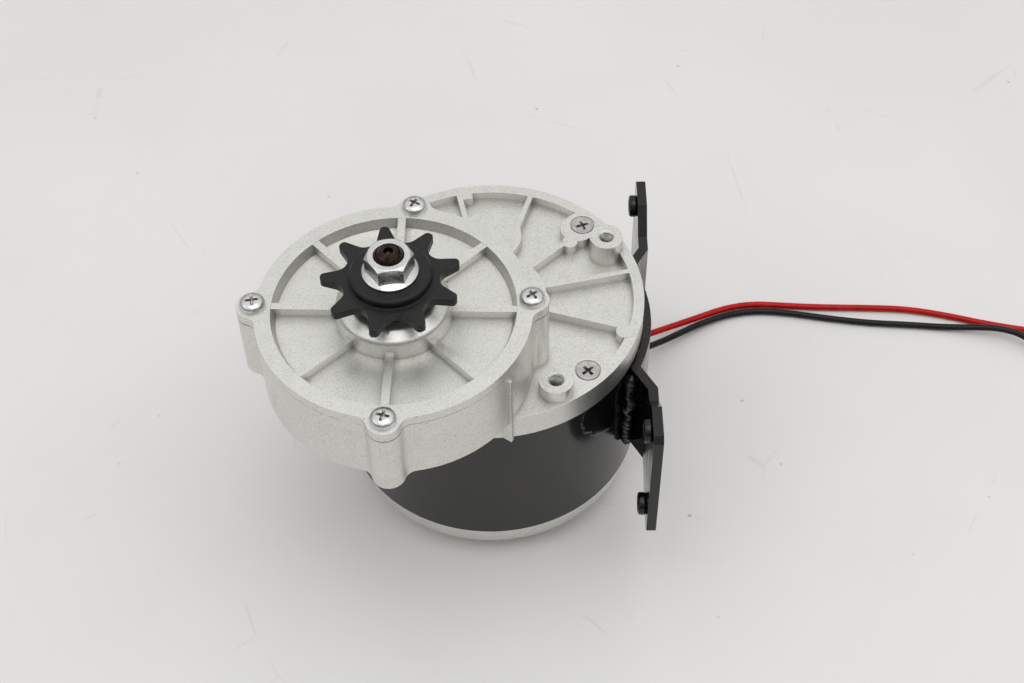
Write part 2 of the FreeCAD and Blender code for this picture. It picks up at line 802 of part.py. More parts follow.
def armature():
    shaft = turned(
        "MotorShaft",
        [
            (0, REAR_BEARING_BOTTOM),
            ("motor_shaft_radius - 0.5", REAR_BEARING_BOTTOM),
            ("motor_shaft_radius", f"{REAR_BEARING_BOTTOM} + 0.5"),
            ("motor_shaft_radius", f"{FIRST_GEAR_BOTTOM} + first_face_width"),
            ("motor_shaft_radius - 0.5", f"{FIRST_GEAR_BOTTOM} + first_face_width + 0.4"),
            (0, f"{FIRST_GEAR_BOTTOM} + first_face_width + 0.4"),
        ],
    )
    node("armature_shaft", shaft)

    slots = []
    bars = []
    for i in range(12):
        angle = f"30 * {i}"
        x, y = polar("slot_circle", angle)
        slots.append(cylinder("slot_radius", "stack_length", (x, y, "stack_bottom")))
        centre = ("0", "0", "stack_bottom")
        mouth = "stack_radius - slot_circle + 1"
        slots.append(block(mouth, "slot_mouth", "stack_length", centre, angle, "slot_circle"))
        low = "stack_bottom - 1"
        bars.append(cylinder("slot_radius - slip_gap", "stack_length + 2", (x, y, low)))
    blank = ring(
        "StackBlank", "stack_radius", "motor_shaft_radius", "stack_length", (0, 0, "stack_bottom")
    )
    node("armature_stack", less(blank, *slots))

    inner = "slot_circle - slot_radius - 3"
    outer = "slot_circle + slot_radius"
    lower = ring(
        "LowerEnd", outer, inner, "end_winding_length - 0.5",
        (0, 0, "winding_bottom"),
    )
    upper = ring(
        "UpperEnd", outer, inner, "end_winding_length - 0.5", (0, 0, f"stack_top + 0.5")
    )
    for end in (lower, upper):
        rounded(end, 1.2, lambda edge: isinstance(edge.Curve, Part.Circle))
    node("armature_windings", fused(lower, upper, *bars))

    node("commutator_hub", ring(
        "CommutatorHub", "commutator_radius - bar_depth", "motor_shaft_radius",
        "commutator_length", (0, 0, "commutator_bottom"),
    ))
    segment = doc.addObject("Part::Cylinder", "Segment")
    bind(segment, Radius="commutator_radius", Height="commutator_length", Angle=13.5)
    bar = less(segment, cylinder("commutator_radius - bar_depth", "commutator_length"))
    places = [((0, 0, "commutator_bottom"), 15 * i) for i in range(24)]
    node("commutator_bars", copies("CommutatorBars", bar, places))


def brush_gear():
    plate = ring(
        "BrushPlateBlank", f"{CAN_BORE} - slip_gap", "commutator_radius + 3",
        "brush_plate_thickness", (0, 0, "cap_height"),
    )
    notches = []
    for angle in BOLT_ANGLES:
        x, y = polar("bolt_circle", angle)
        notches.append(cylinder("bolt_radius + 1", "brush_plate_thickness", (x, y, "cap_height")))
    for side in (-1, 1):
        x, y, _ = lead_place(side, "lead_post_circle")
        hole = "lead_radius + slip_gap"
        notches.append(cylinder(hole, "brush_plate_thickness", (x, y, "cap_height")))
    node("brush_plate", less(plate, *notches))

    boxes = []
    brushes = []
    springs = []
    wires = []
    wall = "brush_box_wall"
    width = "brush_width"
    length = "brush_box_end - brush_box_start"
    for angle in BRUSH_ANGLES:
        at = ("0", "0", BRUSH_PLATE_TOP)
        outside = f"{width} + 2 * {wall}"
        shell = block(length, outside, outside, at, angle, "brush_box_start")
        lifted = ("0", "0", f"{BRUSH_PLATE_TOP} + {wall}")
        tunnel = block(length, width, width, lifted, angle, f"brush_box_start - {wall}")
        boxes.append(less(shell, tunnel))
        seated = ("0", "0", f"{BRUSH_PLATE_TOP} + {wall} + running_gap")
        side = f"{width} - 2 * running_gap"
        brushes.append(block("brush_back - brush_front", side, side, seated, angle, "brush_front"))
        middle = ("0", "0", f"{BRUSH_PLATE_TOP} + {wall} + {width} / 2")
        springs.append(spring(middle, angle))
        hoop = "inner_jumper_radius" if angle in (0, 180) else "outer_jumper_radius"
        wires.append(jumper_bar(f"{hoop} - brush_box_end", angle, "brush_box_end"))
    node("brush_holders", group("BrushHolders", boxes))
    node("brushes", group("Brushes", brushes))
    node("brush_springs", group("BrushSprings", springs))
    node("brush_leads", jumper_wires(wires))


def jumper_bar(length, angle, start):
    """A straight stretch of jumper wire on the brush plate, along a radius."""
    across = "2 * jumper_wire"
    return block(length, across, across, ("0", "0", BRUSH_PLATE_TOP), angle, start)


def jumper_wires(stubs):
    """The two jumpers that join opposite brushes, each with its stubs and its way to a lead."""
    halves = []
    hoops = ((1, "inner_jumper_radius", (0, 2)), (-1, "outer_jumper_radius", (1, 3)))
    for side, radius, ends in hoops:
        hoop = doc.addObject("Part::Torus", "Hoop")
        bind(hoop, Radius1=radius, Radius2="jumper_wire")
        place(hoop, (0, 0, f"{BRUSH_PLATE_TOP} + jumper_wire"))
        x, y, low = lead_place(side, "lead_post_circle")
        post = cylinder("lead_radius", f"{BRUSH_PLATE_TOP} + 2 * jumper_wire - {low}", (x, y, low))
        swing = "atan(lead_spacing / 2 / lead_post_circle) / 1 deg"
        towards = f"(lead_exit_angle + {side} * {swing})"
        bar = jumper_bar(f"lead_post_circle + 0.4 - {radius}", towards, radius)
        halves.append(fused(hoop, post, bar, *(stubs[i] for i in ends)))
    return group("BrushLeads", halves)


def spring(centre, angle):
    """A coil spring behind a brush, along a radius, bent from short runs."""
    wire = number("spring_wire")
    radius = number("brush_width / 2 - spring_clearance")
    coil = number("spring_length") - 2 * wire - 0.1
    turns = 4
    steps = 8
    points = []
    for i in range(turns * steps + 1):
        around = 2 * math.pi * i / steps
        along = coil * i / (turns * steps)
        points.append(Vector(radius * math.cos(around), radius * math.sin(around), along))
    solid, _, _ = tube(points, wire)
    piece = made("Spring", solid)
    outward = Rotation(Vector(0, 0, 1), angle).multiply(Rotation(Vector(0, 1, 0), 90))
    x, y = polar("brush_back + spring_wire + 0.05", angle)
    piece.Placement = Placement(Vector(number(x), number(y), number(centre[2])), outward)
    return piece


# Gear train


def gear_train():
    pinion_tilt = MIDDLE_TURN
    node("motor_pinion", gear(
        "MotorPinion", "first", "pinion", 0, "first_face_width", "motor_shaft_radius",
        (0, 0, FIRST_GEAR_BOTTOM), pinion_tilt,
    ))
    node("intermediate_wheel", gear(
        "IntermediateWheel", "first", "wheel", 0, "first_face_width", "middle_shaft_radius",
        (*MIDDLE, FIRST_GEAR_BOTTOM), f"{MIDDLE_TURN} + 180 + 180 / first_wheel_teeth",
    ))
    reach = math.atan2(
        number(OUTPUT[1]) - number(MIDDLE[1]), number(OUTPUT[0]) - number(MIDDLE[0])
    )
    towards_output = math.degrees(reach)
    shift = number("second_shift")
    length = f"({UPPER_BUSH_BOTTOM} - 0.5 - ({DRUM_FLOOR_TOP} + 0.7))"
    teeth = gear(
        "MiddlePinion", "second", "pinion", shift, length, None,
        (*MIDDLE, f"{DRUM_FLOOR_TOP} + 0.7"), towards_output,
    )
    low = f"({BUSH_POCKET} + 0.2)"
    high = f"({UPPER_BUSH_BOTTOM} + bush_length - 0.3)"
    rod = cylinder("middle_shaft_radius", f"{high} - {low}", (*MIDDLE, low))
    node("intermediate_shaft", fused(teeth, rod))

    wheel = gear(
        "OutputWheel", "second", "wheel", -shift, "second_face_width", "output_shaft_radius",
        (*OUTPUT, SECOND_GEAR_BOTTOM), f"{towards_output} + 180 + 180 / second_wheel_teeth",
    )
    node("output_gear", less(wheel, key_block()))
    for label, z in (("lower_bush", BUSH_POCKET), ("upper_bush", UPPER_BUSH_BOTTOM)):
        node(label, ring(
            "Bush", "bush_radius", "middle_shaft_radius + running_gap", "bush_length",
            (*MIDDLE, z),
        ))


def key_block():
    """The output shaft's key, half in the shaft and half in the gear."""
    centre = (*OUTPUT, SECOND_GEAR_BOTTOM)
    start = "output_shaft_radius - key_width / 2"
    return block("key_width", "key_width", "second_face_width", centre, 180, start)


def output_stack():
    shoulder = f"({LOWER_BEARING_TOP})"
    blank = turned(
        "OutputShaftBlank",
        [
            (0, f"{LOWER_BEARING_BOTTOM} + 0.2"),
            ("output_shaft_radius", f"{LOWER_BEARING_BOTTOM} + 0.2"),
            ("output_shaft_radius", shoulder),
            ("spacer_radius", shoulder),
            ("spacer_radius", SECOND_GEAR_BOTTOM),
            ("output_shaft_radius", SECOND_GEAR_BOTTOM),
            ("output_shaft_radius", f"{SPROCKET_TOP} - 0.3"),
            ("stud_radius", f"{SPROCKET_TOP} - 0.3"),
            ("stud_radius", f"{STUD_TOP} - stud_radius + stud_end_radius"),
            ("stud_end_radius", STUD_TOP),
            ("stud_centre_radius", STUD_TOP),
            ("stud_centre_radius * 0.8", f"{STUD_TOP} - stud_centre_depth"),
            (0, f"{STUD_TOP} - stud_centre_depth - stud_centre_radius * 0.5"),
        ],
        (*OUTPUT, 0),
    )
    node("output_shaft", less(blank, key_block()))
    node("output_key", key_block())
    node("gear_spacer", ring(
        "GearSpacer", "spacer_radius", "output_shaft_radius", f"{COVER_INSIDE} - {SECOND_GEAR_TOP}",
        (*OUTPUT, SECOND_GEAR_TOP),
    ))
    sizes = ("output_bearing_radius", "output_shaft_radius", "output_bearing_width")
    bearing("lower_output_bearing", *sizes, (*OUTPUT, LOWER_BEARING_BOTTOM), 8)
    bearing("upper_output_bearing", *sizes, (*OUTPUT, COVER_INSIDE), 8)
    node("sprocket_spacer", ring(
        "SprocketSpacer", "spacer_radius", "output_shaft_radius",
        f"{SPROCKET_BOTTOM} - {UPPER_BEARING_TOP}", (*OUTPUT, UPPER_BEARING_TOP),
    ))
    lip = f"{HUB_TOP} - seal_height"
    node("shaft_seal", turned(
        "ShaftSeal",
        [
            ("spacer_radius + 0.6", 0),
            ("seal_radius", 0),
            ("seal_radius", "seal_height"),
            ("spacer_radius + 1.2", "seal_height"),
            ("spacer_radius + running_gap", "seal_height - 0.9"),
            ("spacer_radius + running_gap", "seal_height - 1.5"),
        ],
        (*OUTPUT, lip),
    ))
    sprocket()
    node("sprocket_collar", turned(
        "Collar",
        [
            ("stud_radius", 0),
            ("collar_radius - 0.4", 0),
            ("collar_radius", 0.4),
            ("collar_radius", "collar_height - 0.6"),
            ("collar_radius - 0.6", "collar_height"),
            ("stud_radius", "collar_height"),
        ],
        (*OUTPUT, SPROCKET_TOP),
    ))
    flange_nut()


def sprocket():
    """A chain sprocket: roller seats on the pitch circle, and flanks that narrow each tooth."""
    half = math.pi / number("sprocket_teeth")
    pitch_radius = number("chain_pitch") / 2 / math.sin(half)
    seat = pitch_radius - number("sprocket_root_radius")
    tip = number("sprocket_tip_radius")
    thickness = number("sprocket_thickness")
    # The gap whose roller is centred on +X. Its flank runs from a tooth's corner until it
    # touches the roller seat, and the tool goes on past the tip.
    centre = Vector(pitch_radius, 0, 0)
    crest_turn = half - number("sprocket_tip_width") / 2 / tip
    crest = Vector(tip * math.cos(crest_turn), tip * math.sin(crest_turn), 0)
    reach = crest - centre
    touch_turn = math.atan2(reach.y, reach.x) + math.acos(seat / reach.Length)
    touch = centre + Vector(seat * math.cos(touch_turn), seat * math.sin(touch_turn), 0)
    past = crest + (crest - touch) * 0.3
    corners = [centre, touch, past, Vector(past.x, -past.y, 0), Vector(touch.x, -touch.y, 0)]
    flanks = Part.Face(Part.makePolygon(corners + corners[:1])).extrude(Vector(0, 0, thickness))
    gap = Part.makeCylinder(seat, thickness, centre).fuse(flanks)
    gaps = []
    for i in range(int(number("sprocket_teeth"))):
        copy = gap.copy()
        copy.rotate(Vector(0, 0, 0), Vector(0, 0, 1), math.degrees((2 * i + 1) * half))
        gaps.append(copy)
    blank = Part.makeCylinder(tip, thickness).cut(gaps).removeSplitter()
    corners = [
        edge for edge in blank.Edges
        if abs(edge.tangentAt(edge.FirstParameter).z) > 0.9
        and Vector(edge.Vertexes[0].X, edge.Vertexes[0].Y, 0).Length > tip - 0.1
    ]
    blank = blank.makeFillet(number("sprocket_tip_round"), corners)
    centre = (*OUTPUT, SPROCKET_BOTTOM)
    plate = place(made("SprocketPlate", blank), centre, "sprocket_angle")
    raised = cylinder("sprocket_ring_radius", "sprocket_thickness + sprocket_ring_height", centre)
    bore = cylinder("output_shaft_radius", "sprocket_thickness + sprocket_ring_height", centre)
    node("sprocket", less(fused(plate, raised), bore))


def flange_nut():
    flats = "nut_flats / 2 / cos(30)"
    corners = [polar(flats, f"60 * {i} + nut_turn") for i in range(6)]
    centre = (*OUTPUT, COLLAR_TOP)
    shoulder = "nut_flange_height + nut_flange_slope - 0.2"
    prism = extruded("NutPrism", corners, "nut_height", centre)
    envelope = turned(
        "NutEnvelope",
        [
            ("stud_radius", 0),
            ("nut_flange_radius - 0.2", 0),
            ("nut_flange_radius", 0.2),
            ("nut_flange_radius", "nut_flange_height - 0.2"),
            ("nut_flats / 2", shoulder),
            ("stud_radius", shoulder),
        ],
        centre,
    )
    crown = turned(
        "NutCrown",
        [
            ("stud_radius", 0),
            (f"{flats} + 0.1", 0),
            (f"{flats} + 0.1", "nut_height - 0.9"),
            ("nut_flats / 2 - 0.2", "nut_height"),
            ("stud_radius + nut_mouth", "nut_height"),
            ("stud_radius", "nut_height - nut_mouth"),
        ],
        centre,
    )
    common = doc.addObject("Part::MultiCommon", "NutHex")
    common.Shapes = [prism, crown]
    node("flange_nut", fused(common, envelope))


# Gear housing and cover


def lugged_disc(name, radius, height, z):
    """A disc about the output shaft with the four screw lugs blended into it."""
    body = doc.addObject("PartDesign::Body", name)
    disc = sketch_in(body, "XY_Plane")
    draw_circle(disc, radius, OUTPUT)
    padded(body, disc, height)
    for lug in LUGS:
        sketch = sketch_in(body, "XY_Plane")
        draw_circle(sketch, "lug_radius", lug)
        padded(body, sketch, height)

    def is_blend(edge):
        start = edge.Vertexes[0].Point
        upright = abs(edge.tangentAt(edge.FirstParameter).z) > 0.99
        away = math.hypot(start.x - number(OUTPUT[0]), start.y - number(OUTPUT[1]))
        near_lug = any(
            abs(math.hypot(start.x - number(x), start.y - number(y)) - number("lug_radius")) < 0.01
            for x, y in LUGS
        )
        return upright and near_lug and abs(away - number(radius)) < 0.01

    rounded(body, "lug_blend", is_blend)
    return place(body, (0, 0, z))


def kept_lands():
    """Everything that stays level with the plate's top between its pockets."""
    depth = "pocket_depth"
    centre = ("0", "0", POCKET_FLOOR)
    pieces = [lugged_disc("DrumFoot", "drum_radius", depth, POCKET_FLOOR)]
    for i in range(-1, 4):
        angle = f"(plate_rib_angle + 30 * {i})"
        pieces.append(block(33, "plate_rib_width", depth, centre, angle, "hub_pad_radius - 2"))
    pads = [
        ("side_pad_radius", ("0", "side_pad_offset")),
        ("flat_head_radius + 2.2", polar("bolt_circle", 45)),
        ("flat_head_radius + 2.2", polar("bolt_circle - 2", 45)),
        (2.6, polar("bolt_circle - 8.5", "plate_rib_angle + 28.5")),
    ]
    for radius, (x, y) in pads:
        pieces.append(cylinder(radius, depth, (x, y, POCKET_FLOOR)))
    # Level stretches from angle to angle: the pointed land by the drum, the one behind the
    # drum, and the thicker rim beside the rib that faces away from the bracket.
    stretches = [(-84, -37, 1), (116, 205, 1), (97.2, 102.7, "pocket_radius - 2.4")]
    for start, end, inner in stretches:
        steps = 6
        far = "pocket_radius + 1.4"
        turn = [f"({start} + ({end} - ({start})) * {i} / {steps})" for i in range(steps + 1)]
        corners = [polar(far, angle) for angle in turn]
        corners += [polar(inner, turn[-1]), polar(inner, turn[0])]
        pieces.append(extruded("Land", corners, depth, centre))
    return fused(*pieces)


def tapped_bosses():
    """The two tapped bosses' places."""
    return [
        polar("bolt_circle", "tapped_boss_angle"),
        polar("bolt_circle", "tapped_boss_angle - 90"),
    ]


def gear_housing():
    plate = cylinder("plate_radius", PLATE_THICKNESS, (0, 0, CAN_TOP))
    pocket_blank = ring(
        "PocketBlank", "pocket_radius", "hub_pad_radius", "pocket_depth + 1", (0, 0, POCKET_FLOOR)
    )
    pockets = less(pocket_blank, kept_lands())
    drum = lugged_disc("Drum", "drum_radius", DRUM_HEIGHT, PLATE_TOP)
    bosses = []
    holes = []
    for x, y in tapped_bosses():
        height = "pocket_depth + tapped_boss_height"
        bosses.append(cylinder("tapped_boss_radius", height, (x, y, POCKET_FLOOR)))
        z = f"{BOSS_TOP} - tapped_hole_depth"
        holes.append(cylinder("tapped_hole_radius", "tapped_hole_depth", (x, y, z)))
        mouth = turned("Mouth", [(0, 0), ("tapped_hole_radius", 0), (2.7, 0.6), (2.7, 1), (0, 1)],
                       (x, y, f"{BOSS_TOP} - 0.6"))
        holes.append(mouth)
    x, y = polar("plate_radius - disc_boss_inset", "disc_boss_angle")
    height = "pocket_depth + disc_boss_height"
    bosses.append(cylinder("disc_boss_radius", height, (x, y, POCKET_FLOOR)))
    seam = (*OUTPUT, f"{CAN_TOP} + 0.6")
    height = f"{DRUM_HEIGHT} + {PLATE_THICKNESS} - 3"
    length = "2.2 + seam_reach"
    bosses.append(block(length, "seam_width", height, seam, "seam_angle", "drum_radius - 2.2"))

    cavity = "(drum_radius - drum_wall)"
    room = turned(
        "Cavity",
        [
            (0, LOWER_BEARING_BOTTOM),
            ("output_bearing_radius", LOWER_BEARING_BOTTOM),
            ("output_bearing_radius", LOWER_BEARING_TOP),
            ("output_bearing_radius + bearing_wall", LOWER_BEARING_TOP),
            ("output_bearing_radius + bearing_wall", DRUM_FLOOR_TOP),
            (cavity, DRUM_FLOOR_TOP),
            (cavity, f"{DRUM_TOP} + 1"),
            (0, f"{DRUM_TOP} + 1"),
        ],
        (*OUTPUT, 0),
    )
    depth = f"{LOWER_CAVITY_TOP} - {CAN_TOP}"
    pinion_tip = "first_module * (first_pinion_teeth / 2 + 1)"
    wheel_tip = "first_module * (first_wheel_teeth / 2 + 1)"
    second_tip = "second_module * (second_pinion_teeth / 2 + 1 + second_shift)"
    tools = [
        room,
        cylinder(f"{pinion_tip} + 1.5", depth, (0, 0, CAN_TOP)),
        cylinder(f"{wheel_tip} + 0.95", depth, (*MIDDLE, CAN_TOP)),
        cylinder(f"{second_tip} + 0.5", f"{DRUM_TOP} - {CAN_TOP}", (*MIDDLE, CAN_TOP)),
        *holes,
    ]
    sink = countersink(f"{PLATE_THICKNESS} + 1")
    places = [((*polar("bolt_circle", angle), PLATE_TOP), 0) for angle in BOLT_ANGLES]
    tools.append(copies("Countersinks", sink, places))
    for angle in PLATE_SCREW_ANGLES:
        x, y = polar("plate_screw_circle", angle)
        tools.append(cylinder("bolt_radius", 4.5, (x, y, CAN_TOP)))
    for x, y in LUGS:
        z = f"{DRUM_TOP} - cover_screw_length"
        tools.append(cylinder("bolt_radius", "cover_screw_length + 1", (x, y, z)))
    node("gear_housing", less(fused(less(plate, pockets), drum, *bosses), *tools))

    bolt_length = f"{PLATE_TOP} - bolt_end"
    bolt = flat_screw("ThroughBolt", bolt_length)
    node("through_bolts", copies("ThroughBolts", bolt, [(at, angle) for (at, _), angle in zip(
        places, (20, 0, 40))]))


def gear_cover():
    rim = lugged_disc("CoverRim", "cover_radius", "cover_rim_height", COVER_BOTTOM)
    wall = "(cover_radius - cover_rim_width)"
    pocket = turned(
        "CoverPocket",
        [
            (0, COVER_FLOOR),
            (f"{wall} - cover_pocket_draft", COVER_FLOOR),
            (wall, COVER_TOP),
            (wall, f"{COVER_TOP} + 1"),
            (0, f"{COVER_TOP} + 1"),
        ],
        (*OUTPUT, 0),
    )
    web = cylinder(
        "drum_radius - drum_wall - slip_gap", "cover_plate_thickness", (*OUTPUT, COVER_INSIDE)
    )
    hub = turned(
        "Hub",
        [
            (0, COVER_INSIDE),
            ("hub_radius", COVER_INSIDE),
            ("hub_radius", COVER_FLOOR),
            ("hub_radius - 0.5", f"{HUB_TOP} - 2.6"),
            ("hub_mouth_radius", HUB_TOP),
            (0, HUB_TOP),
        ],
        (*OUTPUT, 0),
    )
    shoulder = "hub_radius - 0.5"
    rounded(hub, "hub_round / 2", lambda edge: is_ring(edge, shoulder, f"{HUB_TOP} - 2.6"))
    ribs = []
    for i in range(8):
        angle = f"(cover_rib_angle + 45 * {i})"
        centre = (*OUTPUT, COVER_BOTTOM)
        length = f"{wall} - hub_radius + 2"
        height = f"{COVER_FLOOR} - {COVER_BOTTOM} + cover_rib_height"
        ribs.append(block(length, "cover_rib_width", height, centre, angle, "hub_radius - 1"))
    bush_boss = cylinder("bush_radius + 2.5", f"{COVER_FLOOR} - {UPPER_BUSH_BOTTOM}",
                         (*MIDDLE, UPPER_BUSH_BOTTOM))
    solid = fused(less(rim, pocket), web, hub, *ribs, bush_boss)
    bore = turned(
        "CoverBore",
        [
            (0, f"{COVER_INSIDE} - 1"),
            ("output_bearing_radius", f"{COVER_INSIDE} - 1"),
            ("output_bearing_radius", UPPER_BEARING_TOP),
            ("seal_radius - 1", UPPER_BEARING_TOP),
            ("seal_radius - 1", f"{HUB_TOP} - seal_height"),
            ("seal_radius", f"{HUB_TOP} - seal_height"),
            ("seal_radius", f"{HUB_TOP} + 1"),
            (0, f"{HUB_TOP} + 1"),
        ],
        (*OUTPUT, 0),
    )
    tools = [bore, cylinder("bush_radius", "bush_length", (*MIDDLE, UPPER_BUSH_BOTTOM))]
    for x, y in LUGS:
        tools.append(cylinder("bolt_radius + slip_gap", "cover_rim_height", (x, y, COVER_BOTTOM)))
    node("gear_cover", less(solid, *tools))

    sheet_ring = lugged_disc("GasketBlank", "drum_radius", "gasket_thickness", DRUM_TOP)
    inside = cylinder("drum_radius - drum_wall + 0.2", "gasket_thickness", (*OUTPUT, DRUM_TOP))
    holes = [
        cylinder("bolt_radius + slip_gap", "gasket_thickness", (x, y, DRUM_TOP)) for x, y in LUGS
    ]
    node("cover_gasket", less(sheet_ring, inside, *holes))
    screw = pan_screw("CoverScrew", "cover_screw_length")
    turns = (35, 60, 10, 75)
    places = [((x, y, COVER_TOP), turn) for (x, y), turn in zip(LUGS, turns)]
    node("cover_screws", copies("CoverScrews", screw, places))


# Mounting bracket


def bracket_slope():
    """Where the bracket's outer side leaves the can's round and reaches its face, and which way."""
    outer = number("bracket_outer")
    arc = math.radians(number("bracket_arc"))
    start = Vector(outer * math.cos(arc), outer * math.sin(arc), 0)
    bend = Vector(number("bracket_face"), number("bracket_bend"), 0)
    slope = (bend - start).normalize()
    return start, bend, slope, Vector(-slope.y, slope.x, 0)


def on_circle(base, slope, radius):
    """Where a line through a point along a slope leaves a circle about the motor's axis."""
    along = base.dot(slope)
    return base + slope * (math.sqrt(along ** 2 - base.Length ** 2 + radius ** 2) - along)


def mounting_bracket():
    """A steel strip rolled round the can, set out at both ends into flared ears."""
    thickness = number("bracket_thickness")
    outer = number("bracket_outer")
    start, bend, slope, inward = bracket_slope()
    face = number("bracket_face")
    end = Vector(face, number("bracket_half_width"), 0)
    # The inner side runs one thickness inside the outer one, and leaves the can where its
    # sloping stretch meets the can's circle.
    inner = outer - thickness
    base = start + inward * thickness
    leave = on_circle(base, slope, inner)
    inner_face = face - thickness
    inner_bend = base + slope * ((inner_face - base.x) / slope.x)

    def mirrored(point):
        return Vector(point.x, -point.y, 0)

    half = [start, bend, end, Vector(inner_face, end.y, 0), inner_bend, leave]
    edges = [Part.Arc(mirrored(start), Vector(outer, 0, 0), start).toShape()]
    edges += [Part.makeLine(a, b) for a, b in zip(half, half[1:])]
    edges.append(Part.Arc(leave, Vector(inner, 0, 0), mirrored(leave)).toShape())
    other = [mirrored(point) for point in reversed(half)]
    edges += [Part.makeLine(a, b) for a, b in zip(other, other[1:])]
    low = number("ear_bottom")
    high = number("ear_top")
    plan = Part.Face(Part.Wire(edges)).extrude(Vector(0, 0, high - low))
    plan.translate(Vector(0, 0, low))

    middle = "bracket_bend + 0.9"
    upper = [
        (middle, "strip_top"),
        ("ear_flare_start", "strip_top"),
        ("ear_flare_end", "ear_top"),
        ("bracket_half_width - ear_corner", "ear_top"),
        ("bracket_half_width", "ear_top - ear_corner"),
        ("bracket_half_width", "ear_bottom + ear_corner"),
        ("bracket_half_width - ear_corner", "ear_bottom"),
        ("ear_flare_end", "ear_bottom"),
        ("ear_flare_start", "strip_bottom"),
        (middle, "strip_bottom"),
    ]
    side = [Vector(0, number(y), number(z)) for y, z in upper]
    side += [Vector(0, -point.y, point.z) for point in reversed(side)]
    front = Part.Face(Part.makePolygon(side + side[:1])).extrude(Vector(face + 10, 0, 0))
    blank = made("BracketBlank", plan.common(front).removeSplitter())

    holes = []
    nuts = []
    beads = []
    for across in (-1, 1):
        for up in (-1, 1):
            y = number(f"{across} * hole_spacing_across / 2")
            z = number(f"ear_middle + {up} * hole_rise")
            hole = Part.makeCylinder(
                number("bracket_hole_radius"), thickness, Vector(inner_face, y, z), Vector(1, 0, 0)
            )
            holes.append(made("BracketHole", hole))
            nuts.append(made("WeldNut", weld_nut(Vector(inner_face, y, z))))
        beads.append(weld_bead(across))
    node("mounting_bracket", less(blank, *holes))
    node("weld_nuts", group("WeldNuts", nuts))
    node("weld_beads", group("WeldBeads", beads))


def weld_nut(seat):
    """A round weld nut standing inward from a bracket ear."""
    radius = number("weld_nut_radius")
    height = number("weld_nut_height")
    inward = Vector(-1, 0, 0)
    body = Part.makeCylinder(radius, height, seat, inward)
    outer_edges = [edge for edge in body.Edges if edge.Vertexes[0].X < seat.x - height / 2]
    body = body.makeChamfer(0.5, [edge for edge in outer_edges if len(edge.Vertexes) == 1])
    return body.cut(Part.makeCylinder(number("bracket_hole_radius"), height, seat, inward))


def weld_bead(across):
    """A lumpy weld run in the wedge between the can and one side of the bracket."""
    start, _, slope, inward = bracket_slope()
    reach = number("weld_radius + running_gap")
    beside = start + inward * (number("bracket_thickness") + reach)
    centre = on_circle(beside, slope, number("can_radius") + reach)
    x, y = centre.x, across * centre.y
    pitch = number("weld_pitch")
    low = number("strip_bottom + weld_margin")
    high = number("strip_top - weld_margin")
    count = int((high - low) / pitch)
    lumps = []
    for i in range(count + 1):
        swell = 0.12 * math.sin(2.1 * i + across)
        lump = doc.addObject("Part::Sphere", "Lump")
        bind(lump, Radius=f"weld_radius - 0.12 + {swell:.3f}")
        lumps.append(place(lump, (x, y, f"{low} + {pitch} * {i}")))
    return fused(*lumps)


# Leads

LEAD_OUTWARD = ("cos(lead_exit_angle)", "sin(lead_exit_angle)")


def lead_place(side, out):
    """Where a lead's centre is at a distance out from the motor's axis: side -1 or 1."""
    x, y = polar(out, "lead_exit_angle")
    across = f"({side} * lead_spacing / 2)"
    return (
        f"({x} - {across} * sin(lead_exit_angle))",
        f"({y} + {across} * cos(lead_exit_angle))",
        "lead_exit_height",
    )


def slot_shape(radius, start, length):
    """A stadium-shaped plug along the leads' way out of the cap."""
    outward = Vector(*(number(part) for part in LEAD_OUTWARD), 0)
    ends = []
    for side in (-1, 1):
        at = Vector(*(number(part) for part in lead_place(side, start)))
        ends.append(Part.makeCylinder(radius, length, at, outward))
    bar = Part.makeBox(length, number("lead_spacing"), 2 * radius)
    low = Vector(*(number(part) for part in lead_place(-1, start))) - Vector(0, 0, radius)
    bar.Placement = Placement(low, Rotation(Vector(0, 0, 1), number("lead_exit_angle")))
    return ends[0].fuse([ends[1], bar]).removeSplitter()


def lead_opening(gap):
    """The opening in the cap's wall that the grommet fills."""
    radius = number("grommet_radius") + number(gap)
    start = "can_radius - cap_wall - cap_slope"
    length = number("cap_wall + cap_slope") + 1
    return made("LeadOpening", slot_shape(radius, start, length))


def lead_grommet():
    wall = number("cap_wall")
    lip = number("grommet_lip")
    radius = number("grommet_radius")
    sleeve = slot_shape(radius, f"can_radius - cap_wall - {lip}", wall + 2 * lip + 1)
    collar = slot_shape(radius + 1, "can_radius - cap_wall", wall + lip)
    gap = number("running_gap")
    around = Part.makeCylinder(number("cap_radius") + gap, number("cap_height"), Vector(0, 0, -gap))
    foot = [edge for edge in around.Edges if abs(edge.CenterOfMass.z + gap) < gap / 2]
    around = around.makeFillet(number("cap_round") + gap, foot)
    body = sleeve.fuse(collar.cut(around)).removeSplitter()
    outward = Vector(*(number(part) for part in LEAD_OUTWARD), 0)
    for side in (-1, 1):
        at = Vector(*(number(part) for part in lead_place(side, "can_radius - cap_wall - 3")))
        body = body.cut(Part.makeCylinder(number("lead_radius"), 20, at, outward))
    node("lead_grommet", made("Grommet", body))


